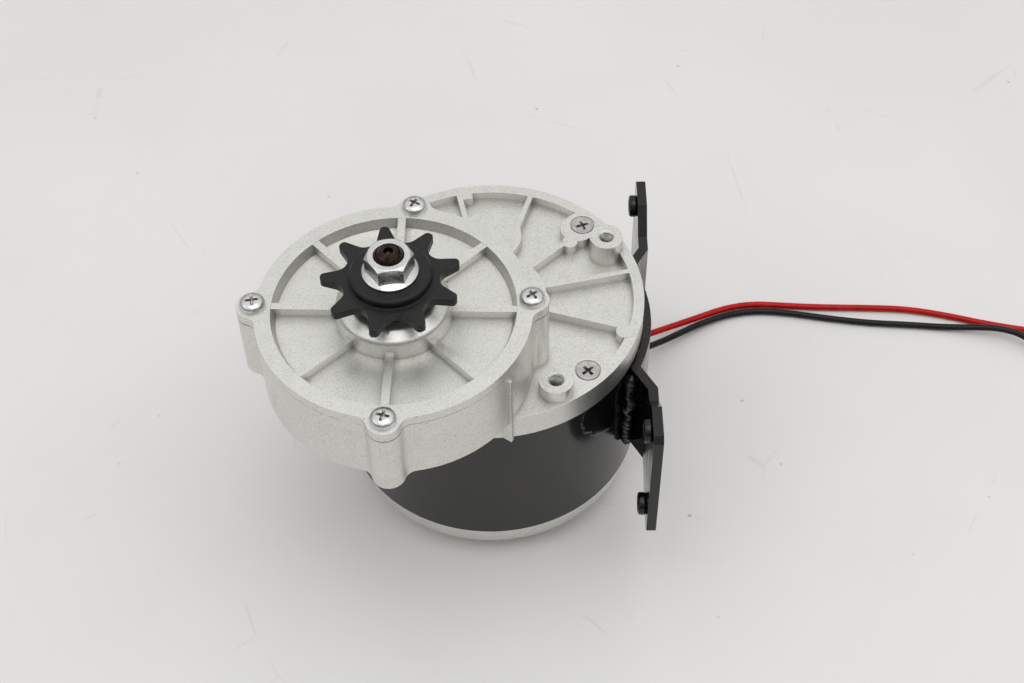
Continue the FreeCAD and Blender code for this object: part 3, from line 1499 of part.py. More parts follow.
def tube(route, radius):
    """A round tube along straight runs joined by tangent arcs, with its bend radii."""
    edges = []
    radii = []
    start = route[0]
    for before, corner, after in zip(route, route[1:], route[2:]):
        arriving = (corner - before).normalize()
        leaving = (after - corner).normalize()
        turn = arriving.getAngle(leaving)
        setback = 0.45 * min((corner - before).Length, (after - corner).Length)
        radii.append(setback / math.tan(turn / 2))
        first = corner - arriving * setback
        last = corner + leaving * setback
        inward = (leaving - arriving).normalize()
        reach = radii[-1] / math.cos(turn / 2) - radii[-1]
        edges.append(Part.LineSegment(start, first).toShape())
        edges.append(Part.Arc(first, corner + inward * reach, last).toShape())
        start = last
    edges.append(Part.LineSegment(start, route[-1]).toShape())
    path = Part.Wire(edges)
    section = Part.Wire(Part.makeCircle(radius, route[0], route[1] - route[0]))
    solid = path.makePipeShell([section], True, False)
    return solid, path.Length, radii


# Each lead's free route past the grommet, to where its put-away coil begins.
RED_ROUTE = [
    (54.2, 39.8, 9.6), (61.8, 44.8, 7.2), (70.0, 50.3, 4.6), (79.0, 55.6, 2.7), (89.0, 60.8, 1.6),
    (100.0, 63.1, 1.3), (113.0, 61.9, 1.35), (127.0, 61.0, 1.3), (143.0, 60.6, 1.3),
    (158.5, 59.7, 1.35), (173.0, 56.5, 1.3), (187.0, 52.2, 1.3), (200.5, 48.9, 1.35),
    (214.0, 46.8, 1.3),
]
BLACK_ROUTE = [
    (55.8, 35.2, 8.6), (62.4, 40.2, 6.0), (70.6, 46.4, 4.0), (79.6, 52.8, 2.4), (90.0, 57.8, 1.4),
    (101.5, 59.6, 1.3), (114.0, 58.2, 1.35), (128.0, 55.4, 1.3), (143.0, 53.0, 1.3),
    (158.5, 51.8, 1.35), (172.0, 50.3, 1.5), (182.5, 49.0, 2.8), (191.5, 47.3, 4.3),
    (200.0, 43.8, 4.3), (206.0, 37.4, 2.6), (208.8, 29.0, 1.4), (209.6, 19.0, 1.3),
    (209.2, 9.0, 1.3),
]


def ring_part(centre, low, start, sweep):
    """Part of a coil's outer shape, one lead deep, from an angle over a sweep."""
    radius = number("lead_radius")
    middle = number("coil_radius")
    height = 2 * radius
    at = centre + Vector(0, 0, low)
    up = Vector(0, 0, 1)
    outer = Part.makeCylinder(middle + radius, height, at, up, sweep)
    inner = Part.makeCylinder(middle - radius, height, at, up, sweep)
    band = outer.cut(inner)
    band.rotate(at, up, start)
    return band


def lead(colour, side, points, coil_centre, entry, turning, second_turn):
    """One lead: its tube, its put-away coil, and the terminal with its sleeve.

    The coil is entered at an angle, runs one whole turn on the floor, climbs onto itself and
    leaves for the terminal part of a turn later, in degrees.
    """
    radius = number("lead_radius")
    inside = Vector(*(number(v) for v in lead_place(side, "can_radius - cap_wall + 0.4")))
    outside = Vector(*(number(v) for v in lead_place(side, "can_radius + lead_straight")))
    centre = Vector(*coil_centre, 0.05)
    middle = number("coil_radius")
    angle = math.radians(entry)
    touch = centre + Vector(middle * math.cos(angle), middle * math.sin(angle), radius)
    route = [inside, outside, *[Vector(*p) for p in points], touch]
    solid, length, radii = tube(route, radius)
    expected = math.pi * radius ** 2 * length
    print(colour, "lead", round(length, 1), "mm, radii", [round(r, 1) for r in radii])
    print(colour, "volume over section times length", round(solid.Volume / expected, 4))
    node(f"lead_{colour}", made(f"Lead{colour}", solid))

    climb = 55
    sweep = climb + second_turn
    start = entry - climb if turning > 0 else entry - second_turn
    leave = math.radians(entry + turning * second_turn)
    out = Vector(math.cos(leave), math.sin(leave), 0)
    along = Vector(-out.y, out.x, 0) * turning
    high = centre + out * middle + Vector(0, 0, 3 * radius)
    low = high + along * 12
    low.z = number("sleeve_radius") + 0.05
    tail = Part.makeCylinder(radius, (low - high).Length, high, low - high)
    lower = ring_part(centre, 0, 0, 360)
    upper = ring_part(centre, 2 * radius, start, sweep)
    coil = lower.fuse([upper, tail]).removeSplitter()
    node(f"lead_{colour}_coil", made(f"Coil{colour}", coil))
    in_turns = math.radians(360 + second_turn) * middle
    print(colour, "whole length", round(length + in_turns + 12 + 4), "mm")

    length = number("sleeve_length")
    sleeve = Part.makeCylinder(number("sleeve_radius"), length, low, along)
    sleeve = sleeve.makeChamfer(0.4, [e for e in sleeve.Edges if len(e.Vertexes) == 1])
    deep = 4
    grip = Part.makeCylinder(radius, deep, low, along)
    tip = number("terminal_radius")
    pin = number("terminal_length")
    metal = Part.makeCylinder(tip, pin, low + along * length, along)
    ends = [e for e in metal.Edges if len(e.Vertexes) == 1]
    far = max(ends, key=lambda e: (e.Vertexes[0].Point - low).dot(along))
    metal = metal.makeFillet(tip * 0.6, [far])
    crimp = Part.makeCylinder(radius, length - deep, low + along * deep, along)
    node(f"lead_{colour}_sleeve", made(f"Sleeve{colour}", sleeve.cut(grip.fuse(crimp))))
    node(f"lead_{colour}_terminal", made(f"Terminal{colour}", metal.fuse(crimp).removeSplitter()))


def leads():
    lead_grommet()
    lead("red", 1, RED_ROUTE, (230.0, 33.0), 90, -1, 90)
    lead("black", -1, BLACK_ROUTE, (222.0, 0.0), 180, 1, 40)


rear_cap()
motor_can()
magnets()
motor_bearings()
bearing_plate()
armature()
brush_gear()
gear_train()
output_stack()
gear_housing()
gear_cover()
mounting_bracket()
leads()
doc.recompute()

for piece in doc.Objects:
    if {"Invalid", "Error"} & set(piece.State):
        raise RuntimeError(f"{piece.Name} ({piece.Label}) is {piece.State}")
for label, piece in nodes.items():
    if piece.Shape.isNull() or not piece.Shape.isValid():
        raise RuntimeError(f"{label} has no valid shape")
os.makedirs("parts", exist_ok=True)
for label, piece in nodes.items():
    piece.Shape.exportStep(f"parts/{label}.step")
print(len(nodes), "sub-parts")
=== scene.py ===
import json
import math

import bpy
from mathutils import Matrix, Vector


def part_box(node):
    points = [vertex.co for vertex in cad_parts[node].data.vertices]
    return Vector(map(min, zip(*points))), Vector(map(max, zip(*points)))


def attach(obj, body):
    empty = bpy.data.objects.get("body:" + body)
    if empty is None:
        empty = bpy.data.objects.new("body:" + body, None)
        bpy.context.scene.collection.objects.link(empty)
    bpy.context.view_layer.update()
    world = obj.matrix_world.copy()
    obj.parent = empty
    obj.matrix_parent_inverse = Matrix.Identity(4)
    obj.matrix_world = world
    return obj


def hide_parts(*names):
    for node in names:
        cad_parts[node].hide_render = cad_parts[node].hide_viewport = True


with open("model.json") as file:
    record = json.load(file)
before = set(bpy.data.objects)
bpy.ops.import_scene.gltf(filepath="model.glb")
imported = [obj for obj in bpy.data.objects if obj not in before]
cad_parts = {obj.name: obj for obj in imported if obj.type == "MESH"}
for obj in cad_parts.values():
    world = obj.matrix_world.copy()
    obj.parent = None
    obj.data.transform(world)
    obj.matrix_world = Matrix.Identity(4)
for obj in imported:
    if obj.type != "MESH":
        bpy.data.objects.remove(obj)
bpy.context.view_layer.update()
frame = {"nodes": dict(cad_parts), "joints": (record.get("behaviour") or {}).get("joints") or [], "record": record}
NODES = frame["nodes"]
MM = 0.001
UP = Vector((0, 0, 1))


# Where things are, from the frame


def axis_of(joint):
    """The point that a joint's axis goes through."""
    return Vector(next(j["pos_m"] for j in frame["joints"] if j["name"] == joint))


def bottom(node):
    """The height of a CAD node's lowest point."""
    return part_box(node)[0][2]


def top(node):
    """The height of a CAD node's highest point."""
    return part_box(node)[1][2]


OUTPUT = axis_of("output_spin")
CAN_RADIUS = round(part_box("motor_can")[1][0], 6)
TAPPED_HOLES = [m for m in frame["record"]["mounts"] if m["kind"] == "threaded_hole"]


# Camera

CAMERA_PLACE = (0.0119, -0.3633, 0.4926)
CAMERA_HEADING = math.radians(0.7)
CAMERA_TILT = math.radians(39.75)
CAMERA_ROLL = math.radians(-1.05)
CAMERA_LENS = 59.1
CAMERA_SENSOR = 36


def make_camera():
    """The photograph's viewing angle: in front and half a metre up, looking down at 50 degrees."""
    data = bpy.data.cameras.new("camera")
    data.sensor_width = CAMERA_SENSOR
    data.lens = CAMERA_LENS
    camera = bpy.data.objects.new("camera", data)
    bpy.context.scene.collection.objects.link(camera)
    heading = Matrix.Rotation(CAMERA_HEADING, 4, "Z")
    tilt = Matrix.Rotation(CAMERA_TILT, 4, "X")
    roll = Matrix.Rotation(CAMERA_ROLL, 4, "Z")
    camera.matrix_world = Matrix.Translation(CAMERA_PLACE) @ heading @ tilt @ roll
    bpy.context.scene.camera = camera


# Leads

LEAD_RADIUS = 1.2 * MM
LEAD_SPACING = 3.6 * MM
LEAD_ANGLE = math.radians(33)
LEAD_HEIGHT = 10.5 * MM
LEAD_START = CAN_RADIUS - 3.6 * MM
LEAD_STRAIGHT_TO = CAN_RADIUS + 6.2 * MM

# A coil climbs onto itself over the last COIL_CLIMB degrees of its first turn.
COIL_RADIUS = 13 * MM
COIL_BOTTOM = 0.05 * MM
COIL_CLIMB = 55
POINTS_A_TURN = 16
SLEEVE_RADIUS = 2.1 * MM
RUN_TO_SLEEVE = 12 * MM
RUN_IN_SLEEVE = 4 * MM

# A lead's points from near the cap to its coil, in mm.
RED_ROUTE = [
    (54.2, 39.8, 9.6), (61.8, 44.8, 7.2), (70.0, 50.3, 4.6), (79.0, 55.6, 2.7), (89.0, 60.8, 1.6),
    (100.0, 63.1, 1.3), (113.0, 61.9, 1.35), (127.0, 61.0, 1.3), (143.0, 60.6, 1.3),
    (158.5, 59.7, 1.35), (173.0, 56.5, 1.3), (187.0, 52.2, 1.3), (200.5, 48.9, 1.35),
    (214.0, 46.8, 1.3),
]
BLACK_ROUTE = [
    (55.8, 35.2, 8.6), (62.4, 40.2, 6.0), (70.6, 46.4, 4.0), (79.6, 52.8, 2.4), (90.0, 57.8, 1.4),
    (101.5, 59.6, 1.3), (114.0, 58.2, 1.35), (128.0, 55.4, 1.3), (143.0, 53.0, 1.3),
    (158.5, 51.8, 1.35), (172.0, 50.3, 1.5), (182.5, 49.0, 2.8), (191.5, 47.3, 4.3),
    (200.0, 43.8, 4.3), (206.0, 37.4, 2.6), (208.8, 29.0, 1.4), (209.6, 19.0, 1.3),
    (209.2, 9.0, 1.3),
]

# A coil's centre in mm, where its first turn starts in degrees, which way it turns and how far
# round its second turn goes.
RED_COIL = {"centre": (230, 33), "entry": 90, "turning": -1, "second_turn": 90}
BLACK_COIL = {"centre": (222, 0), "entry": 180, "turning": 1, "second_turn": 45}


def lead_place(side, out):
    """Where a lead's centre is, at a distance out from the motor's axis: side -1 or 1."""
    outward = Vector((math.cos(LEAD_ANGLE), math.sin(LEAD_ANGLE), 0))
    across = Vector((-outward.y, outward.x, 0))
    return outward * out + across * side * LEAD_SPACING / 2 + UP * LEAD_HEIGHT


def coil_points(centre, entry, turning, second_turn):
    """A coil: a turn on the floor, part of a second one on top, and the run down to the sleeve."""
    points = []
    step = 360 / POINTS_A_TURN
    count = round((360 + second_turn) / step)
    middle = Vector((*centre, 0)) * MM
    for i in range(count + 1):
        turned = i * step
        climbed = min(1, max(0, (turned - 360 + COIL_CLIMB) / COIL_CLIMB))
        angle = math.radians(entry + turning * turned)
        height = COIL_BOTTOM + LEAD_RADIUS * (1 + 2 * climbed)
        outward = Vector((math.cos(angle), math.sin(angle), 0))
        points.append(middle + outward * COIL_RADIUS + UP * height)
    along = Vector((-outward.y, outward.x, 0)) * turning
    sleeve = points[-1] + along * RUN_TO_SLEEVE
    sleeve.z = SLEEVE_RADIUS + COIL_BOTTOM
    points.append(points[-1].lerp(sleeve, 0.5))
    points.append(sleeve)
    points.append(sleeve + along * RUN_IN_SLEEVE)
    return points


def make_lead(colour, side, route, coil):
    """One lead as a single smooth curve, from inside the cap to its terminal's sleeve."""
    data = bpy.data.curves.new(f"lead_{colour}_wire", "CURVE")
    data.dimensions = "3D"
    data.bevel_depth = LEAD_RADIUS
    data.bevel_resolution = 5
    data.resolution_u = 8
    data.use_fill_caps = True
    start = [lead_place(side, LEAD_START), lead_place(side, LEAD_STRAIGHT_TO)]
    points = start + [Vector(point) * MM for point in route] + coil_points(**coil)
    spline = data.splines.new("NURBS")
    spline.points.add(len(points) - 1)
    for point, at in zip(spline.points, points):
        point.co = (*at, 1)
    spline.order_u = 3
    spline.use_endpoint_u = True
    data.materials.append(FINISHES[f"{colour}_insulation"])
    wire = bpy.data.objects.new(f"lead_{colour}_wire", data)
    bpy.context.scene.collection.objects.link(wire)
    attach(wire, "motor")
    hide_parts(f"lead_{colour}", f"lead_{colour}_coil")


# Finishes


class Finish:
    """A material made node by node. Sizes are in metres of the piece's own space."""

    def __init__(self, name):
        self.material = bpy.data.materials.new(name)
        self.material.use_nodes = True
        self.tree = self.material.node_tree
        self.tree.nodes.clear()
        self.surface = self.tree.nodes.new("ShaderNodeBsdfPrincipled")
        output = self.tree.nodes.new("ShaderNodeOutputMaterial")
        self.tree.links.new(self.surface.outputs["BSDF"], output.inputs["Surface"])
        self.place = self.tree.nodes.new("ShaderNodeTexCoord").outputs["Object"]
        self.relief = None

    def give(self, target, value):
        """Links a socket, or sets a plain number or colour."""
        if isinstance(value, bpy.types.NodeSocket):
            self.tree.links.new(value, target)
        else:
            target.default_value = value

    def add(self, kind, inputs, **settings):
        """A node with its settings and its inputs by name or place."""
        made = self.tree.nodes.new(kind)
        for name, value in settings.items():
            setattr(made, name, value)
        for name, value in inputs.items():
            self.give(made.inputs[name], value)
        return made

    def stretched(self, size):
        """The place divided by a size, which may differ along X, Y and Z."""
        sizes = size if isinstance(size, tuple) else (size, size, size)
        scale = tuple(1 / s for s in sizes)
        return self.add("ShaderNodeMapping", {"Vector": self.place, "Scale": scale}).outputs[0]

    def grain(self, size, detail=3.0, rough=0.55, warp=0.0):
        """Soft noise whose features are about one size across, from 0 to 1."""
        inputs = {
            "Vector": self.stretched(size), "Scale": 1.0, "Detail": detail,
            "Roughness": rough, "Distortion": warp,
        }
        return self.add("ShaderNodeTexNoise", inputs).outputs["Fac"]

    def cells(self, size, feature="F1"):
        """Cells about one size across: how far a spot is from a cell's middle, or its border."""
        inputs = {"Vector": self.stretched(size), "Scale": 1.0, "Randomness": 1.0}
        return self.add("ShaderNodeTexVoronoi", inputs, feature=feature).outputs["Distance"]

    def ramp(self, value, low, high, to_low=0.0, to_high=1.0):
        """A value's stretch from low to high, eased, as another stretch."""
        inputs = {
            "Value": value, "From Min": low, "From Max": high,
            "To Min": to_low, "To Max": to_high,
        }
        return self.add("ShaderNodeMapRange", inputs, interpolation_type="SMOOTHSTEP").outputs[0]

    def sum(self, *values, operation="ADD"):
        """Values worked together one after the other."""
        total = values[0]
        for value in values[1:]:
            total = self.add("ShaderNodeMath", {0: total, 1: value}, operation=operation).outputs[0]
        return total

    def times(self, *values):
        """Values multiplied together."""
        return self.sum(*values, operation="MULTIPLY")

    def magnitude(self, value):
        """A value without its sign."""
        return self.add("ShaderNodeMath", {0: value}, operation="ABSOLUTE").outputs[0]

    def mixed(self, share, first, second):
        """From the first colour to the second by a share."""
        inputs = {0: share, 6: first, 7: second}
        return self.add("ShaderNodeMix", inputs, data_type="RGBA").outputs[2]

    def bumped(self, height, depth, strength):
        """Adds relief of a depth in metres over what is there."""
        inputs = {"Height": height, "Distance": depth, "Strength": strength}
        if self.relief is not None:
            inputs["Normal"] = self.relief
        self.relief = self.add("ShaderNodeBump", inputs).outputs[0]

    def facing(self):
        """The way that the surface faces."""
        return self.add("ShaderNodeNewGeometry", {}).outputs["Normal"]

    def height_in(self, direction):
        """The Z part of a place or a direction."""
        return self.add("ShaderNodeSeparateXYZ", {0: direction}).outputs["Z"]

    def edges(self, radius):
        """How near an edge is, from 0 on a face to 1 on a sharp edge."""
        soft = self.add("ShaderNodeBevel", {"Radius": radius}, samples=4).outputs[0]
        inputs = {0: soft, 1: self.facing()}
        along = self.add("ShaderNodeVectorMath", inputs, operation="DOT_PRODUCT").outputs["Value"]
        return self.ramp(along, 1.0, 0.8)

    def corners(self, distance, open_from, shut_to):
        """How deep in a corner a spot is, from 0 in the open to 1 in a fold."""
        inputs = {"Distance": distance}
        seen = self.add("ShaderNodeAmbientOcclusion", inputs, samples=4, only_local=True)
        return self.ramp(seen.outputs["AO"], open_from, shut_to)

    def upright(self):
        """1 on walls, 0 on level faces."""
        return self.ramp(self.magnitude(self.height_in(self.facing())), 0.8, 0.3)

    def near_level(self, level, reach):
        """1 at a height, down to 0 at a reach above and below it."""
        away = self.sum(self.height_in(self.place), level, operation="SUBTRACT")
        return self.ramp(self.magnitude(away), reach, 0.0)

    def near_point(self, point, reach):
        """1 around a point, down to 0 at a reach from it."""
        inputs = {0: self.place, 1: tuple(point)}
        away = self.add("ShaderNodeVectorMath", inputs, operation="DISTANCE").outputs["Value"]
        return self.ramp(away, reach, reach / 3)

    def scratches(self, size, width, above):
        """Thin crooked lines here and there: cell borders of a size, kept in patches."""
        wander = self.times(self.sum(self.grain(size / 3), -0.5), 0.02)
        line = self.sum(self.cells(size, "DISTANCE_TO_EDGE"), wander)
        patch = self.ramp(self.grain(size / 2), above, above + 0.06)
        return self.times(self.ramp(line, width, width / 3), patch)

    def shade(self, colour, roughness, metallic, **more):
        """Sets the surface, with the relief made so far."""
        self.give(self.surface.inputs["Base Color"], colour)
        self.give(self.surface.inputs["Roughness"], roughness)
        self.give(self.surface.inputs["Metallic"], metallic)
        for name, value in more.items():
            self.give(self.surface.inputs[name.replace("_", " ")], value)
        if self.relief is not None:
            self.give(self.surface.inputs["Normal"], self.relief)
        return self.material


def grey(level, warmth=1.0):
    """A colour of one brightness, a little warm at over 1."""
    return (level * warmth, level, level / warmth, 1)


def silver(level):
    """The castings' faintly yellow grey."""
    return (level, level * 0.995, level * 0.95, 1)


COVER_SEAM = (bottom("cover_gasket") + top("cover_gasket")) / 2
RUBBED_SPOT = Vector((OUTPUT.x - 0.036, OUTPUT.y - 0.022, 0.086))


def cast_aluminium():
    """Silver-sprayed die casting: a fine sandy sparkle, nicked edges with a painted highlight along them, painted
    shade in corners, and dirt in the seam.
    """
    f = Finish("cast_aluminium")
    mottle = f.grain(7 * MM, 5, 0.6)
    speckle = f.grain(0.5 * MM, 3, 0.75)
    scratch = f.scratches(26 * MM, 0.006, 0.60)
    pits = f.times(f.ramp(f.cells(2.2 * MM), 0.14, 0.05), f.ramp(f.grain(20 * MM), 0.5, 0.6))
    edge = f.edges(0.45 * MM)
    nicks = f.times(f.edges(0.8 * MM), f.ramp(f.grain(1.3 * MM, 5, 0.75), 0.60, 0.66))
    # Painted shade: the casting darkens deep in corners and at the foot of walls.
    corner = f.corners(2.4 * MM, 0.85, 0.45)
    grime = f.ramp(f.grain(5 * MM, 5, 0.7), 0.34, 0.52)
    seam = f.times(f.near_level(COVER_SEAM, 0.45 * MM), f.upright(), grime)
    streaks = f.ramp(f.grain((4 * MM, 1.2 * MM, 4 * MM), 6, 0.75, 1.2), 0.585, 0.635)
    rubbed = f.times(f.near_point(RUBBED_SPOT, 11 * MM), streaks)
    base = f.mixed(f.ramp(mottle, 0.3, 0.7), silver(0.62), silver(0.68))
    base = f.mixed(f.ramp(speckle, 0.36, 0.66, 0.0, 0.6), base, silver(0.86))
    base = f.mixed(f.ramp(speckle, 0.42, 0.28, 0.0, 0.6), base, silver(0.34))
    # Painted highlight: the casting is lighter along every edge.
    base = f.mixed(f.times(edge, 0.55), base, silver(0.92))
    base = f.mixed(f.times(corner, 0.5), base, silver(0.22))
    base = f.mixed(f.times(scratch, 0.4), base, grey(0.25, 1.02))
    base = f.mixed(f.times(nicks, 0.7), base, grey(0.16, 1.04))
    base = f.mixed(f.times(pits, 0.6), base, grey(0.14, 1.04))
    base = f.mixed(f.times(seam, 0.95), base, grey(0.08, 1.12))
    base = f.mixed(f.times(rubbed, 0.7), base, grey(0.10, 1.02))
    rough = f.sum(f.ramp(mottle, 0.3, 0.7, 0.34, 0.41), f.times(edge, -0.08), f.times(seam, 0.2))
    f.bumped(speckle, 0.07 * MM, 0.8)
    f.bumped(f.grain(2.5 * MM), 0.015 * MM, 0.5)
    f.bumped(pits, -0.08 * MM, 0.7)
    f.bumped(scratch, -0.03 * MM, 0.6)
    return f.shade(base, rough, 0.94)


DAUB_SPOT = Vector((0.040, -0.029, 0.064))


def can_enamel():
    """Black enamel on the can: smooth, a little dusty, and thick and wet-looking by the welds."""
    f = Finish("can_enamel")
    dust = f.ramp(f.grain(0.6 * MM, 4, 0.8), 0.66, 0.8)
    cloud = f.grain(16 * MM, 5, 0.65)
    hoops = f.grain((14 * MM, 14 * MM, 0.9 * MM), 4, 0.6)
    scratch = f.scratches(30 * MM, 0.004, 0.6)
    ragged = f.times(f.grain(3 * MM, 4, 0.6), 0.5)
    daub = f.ramp(f.sum(f.near_point(DAUB_SPOT, 21 * MM), ragged), 0.60, 0.66)
    base = f.mixed(f.ramp(cloud, 0.3, 0.7), grey(0.009, 1.08), grey(0.014, 1.08))
    base = f.mixed(f.times(dust, 0.12), base, grey(0.16))
    base = f.mixed(f.times(scratch, 0.25), base, grey(0.2))
    base = f.mixed(daub, base, grey(0.004))
    rough = f.sum(f.ramp(cloud, 0.3, 0.7, 0.13, 0.20), f.ramp(hoops, 0.4, 0.7, 0.0, 0.03))
    rough = f.sum(rough, f.times(daub, -0.06))
    f.bumped(f.grain(1.6 * MM, 2), 0.008 * MM, 0.5)
    f.bumped(daub, 0.15 * MM, 0.6)
    return f.shade(base, rough, 0.0)


RUST_SPOT = Vector((0.052, -0.016, top("mounting_bracket") - 0.008))


def bracket_enamel():
    """Thick gloss enamel brushed over the bracket and welds, with rust showing near the can."""
    f = Finish("bracket_enamel")
    sag = f.grain((5 * MM, 5 * MM, 9 * MM), 4, 0.6, 0.4)
    edge = f.times(f.edges(0.3 * MM), f.ramp(f.grain(3 * MM, 5, 0.7), 0.5, 0.62))
    flakes = f.ramp(f.grain(1.1 * MM, 5, 0.8), 0.60, 0.66)
    rust = f.times(f.near_point(RUST_SPOT, 24 * MM), flakes)
    base = f.mixed(f.ramp(sag, 0.3, 0.7), grey(0.004), grey(0.009))
    # Painted highlight: lighter patches of enamel along the edges.
    base = f.mixed(f.times(edge, 0.3), base, grey(0.14))
    base = f.mixed(f.times(rust, 0.85), base, (0.30, 0.085, 0.02, 1))
    rough = f.sum(f.ramp(sag, 0.3, 0.7, 0.10, 0.2), f.times(rust, 0.4))
    f.bumped(sag, 0.25 * MM, 0.5)
    f.bumped(f.grain(1.3 * MM), 0.03 * MM, 0.5)
    return f.shade(base, rough, 0.0, Specular_IOR_Level=0.4)


def bright_plate():
    """Bright zinc, dulled by handling, with a painted highlight on its edges and painted shade down in its
    hollows.
    """
    f = Finish("bright_plate")
    cloud = f.grain(1.6 * MM, 5, 0.6)
    edge = f.edges(0.25 * MM)
    hollow_shade = f.corners(0.9 * MM, 0.66, 0.35)
    base = f.mixed(f.ramp(cloud, 0.35, 0.7), grey(0.62), grey(0.72, 1.01))
    # Painted highlight: the zinc is lighter along its edges.
    base = f.mixed(f.times(edge, 0.4), base, grey(0.9))
    # Painted shade: dark greenish down in the hollows.
    base = f.mixed(f.times(hollow_shade, 0.8), base, (0.075, 0.08, 0.05, 1))
    rough = f.sum(f.ramp(cloud, 0.3, 0.7, 0.2, 0.3), f.times(hollow_shade, 0.3))
    f.bumped(f.grain(0.25 * MM, 3, 0.7), 0.004 * MM, 0.6)
    f.bumped(cloud, 0.012 * MM, 0.4)
    return f.shade(base, rough, 1.0)


def dull_plate():
    """Dull nickel on the countersunk screws, with painted shade darkening their hollows."""
    f = Finish("dull_plate")
    cloud = f.grain(1.6 * MM, 5, 0.65)
    hollow_shade = f.corners(1.0 * MM, 0.75, 0.4)
    base = f.mixed(f.ramp(cloud, 0.35, 0.7), grey(0.42, 1.02), grey(0.60, 1.02))
    # Painted shade: darker down in the hollows.
    base = f.mixed(f.times(hollow_shade, 0.85), base, (0.05, 0.05, 0.035, 1))
    f.bumped(f.grain(0.3 * MM), 0.015 * MM, 0.6)
    return f.shade(base, f.ramp(cloud, 0.3, 0.7, 0.28, 0.42), 1.0)


def black_oxide():
    """Blacked steel: near black, a soft sheen, worn a little on its corners."""
    f = Finish("black_oxide")
    cloud = f.grain(4 * MM, 5, 0.65)
    edge = f.times(f.edges(0.25 * MM), f.ramp(f.grain(2.5 * MM, 4), 0.4, 0.6))
    base = f.mixed(f.ramp(cloud, 0.3, 0.7), grey(0.010, 1.01), grey(0.018, 1.02))
    base = f.mixed(f.times(edge, 0.5), base, grey(0.3, 1.04))
    f.bumped(f.grain(0.35 * MM, 3, 0.7), 0.02 * MM, 0.7)
    return f.shade(base, f.ramp(cloud, 0.3, 0.7, 0.34, 0.46), 0.3, Specular_IOR_Level=0.4)


def oiled_steel():
    """The shaft: ground steel below, and oily brown-black on the stud above the collar."""
    f = Finish("oiled_steel")
    cloud = f.grain(1.2 * MM, 5, 0.65)
    collar_top = top("sprocket_collar")
    stud = f.ramp(f.height_in(f.place), collar_top - MM, collar_top)
    ground = f.mixed(f.ramp(cloud, 0.3, 0.7), grey(0.42), grey(0.6))
    oily = f.mixed(f.ramp(cloud, 0.35, 0.65), (0.018, 0.013, 0.011, 1), (0.060, 0.036, 0.028, 1))
    f.bumped(f.grain(0.3 * MM, 3, 0.7), 0.02 * MM, 0.6)
    return f.shade(f.mixed(stud, ground, oily), f.ramp(cloud, 0.3, 0.7, 0.22, 0.38), 0.9)


def plain_metal(name, dark, light, roughness, size=3 * MM):
    """A machined or pressed metal piece, with its own tone, grain and roughness."""
    f = Finish(name)
    cloud = f.grain(size, 5, 0.6)
    base = f.mixed(f.ramp(cloud, 0.3, 0.7), (*dark, 1), (*light, 1))
    f.bumped(f.grain(size / 12, 3, 0.7), 0.01 * MM, 0.6)
    return f.shade(base, f.ramp(cloud, 0.3, 0.7, roughness - 0.06, roughness + 0.08), 1.0)


def plain_solid(name, dark, light, roughness):
    """A moulded, pressed or sintered inner piece that isn't metal."""
    f = Finish(name)
    cloud = f.grain(6 * MM, 4, 0.6)
    fine = f.grain(0.4 * MM, 4, 0.7)
    base = f.mixed(f.ramp(cloud, 0.3, 0.7), (*dark, 1), (*light, 1))
    f.bumped(fine, 0.02 * MM, 0.7)
    return f.shade(base, f.ramp(fine, 0.3, 0.7, roughness - 0.05, roughness + 0.1), 0.0)


def insulation(name, dark, light):
    """Extruded lead insulation: a smooth gloss with faint ripples and scuffs."""
    f = Finish(name)
    ripple = f.grain(5 * MM)
    scuff = f.ramp(f.grain(0.8 * MM, 4, 0.7), 0.6, 0.75)
    base = f.mixed(f.ramp(ripple, 0.3, 0.7), (*dark, 1), (*light, 1))
    rough = f.sum(f.ramp(ripple, 0.3, 0.7, 0.22, 0.32), f.times(scuff, 0.2))
    f.bumped(f.grain(1.2 * MM, 2), 0.015 * MM, 0.5)
    return f.shade(base, rough, 0.0, Specular_IOR_Level=0.25)


# A finish for each of the record's material slots.
FINISHES = {
    "cast_aluminium": cast_aluminium(),
    "black_enamel": bracket_enamel(),
    "zinc_plate": bright_plate(),
    "nickel_screw": dull_plate(),
    "black_oxide": black_oxide(),
    "ground_steel": oiled_steel(),
    "bearing_steel": plain_metal("bearing_steel", (0.6, 0.6, 0.61), (0.75, 0.75, 0.76), 0.14),
    "bronze": plain_metal("bronze", (0.42, 0.26, 0.12), (0.62, 0.42, 0.22), 0.4, 1 * MM),
    "core_steel": plain_metal("core_steel", (0.25, 0.25, 0.26), (0.42, 0.42, 0.43), 0.42),
    "copper": plain_metal("copper", (0.50, 0.20, 0.09), (0.75, 0.36, 0.18), 0.26),
    "phenolic": plain_solid("phenolic", (0.07, 0.035, 0.018), (0.15, 0.08, 0.04), 0.4),
    "carbon": plain_solid("carbon", (0.02, 0.02, 0.022), (0.05, 0.05, 0.052), 0.55),
    "spring_steel": plain_metal("spring_steel", (0.36, 0.36, 0.37), (0.58, 0.58, 0.6), 0.28),
    "brass": plain_metal("brass", (0.62, 0.40, 0.14), (0.82, 0.60, 0.27), 0.25),
    "ferrite": plain_solid("ferrite", (0.035, 0.035, 0.038), (0.08, 0.08, 0.085), 0.6),
    "seal_rubber": plain_solid("seal_rubber", (0.012, 0.012, 0.012), (0.028, 0.028, 0.028), 0.5),
    "gasket_paper": plain_solid("gasket_paper", (0.22, 0.18, 0.13), (0.36, 0.3, 0.22), 0.8),
    "red_insulation": insulation("red_insulation", (0.43, 0.002, 0.002), (0.52, 0.004, 0.004)),
    "black_insulation": insulation("black_insulation", (0.004, 0.004, 0.004), (0.01, 0.01, 0.01)),
}

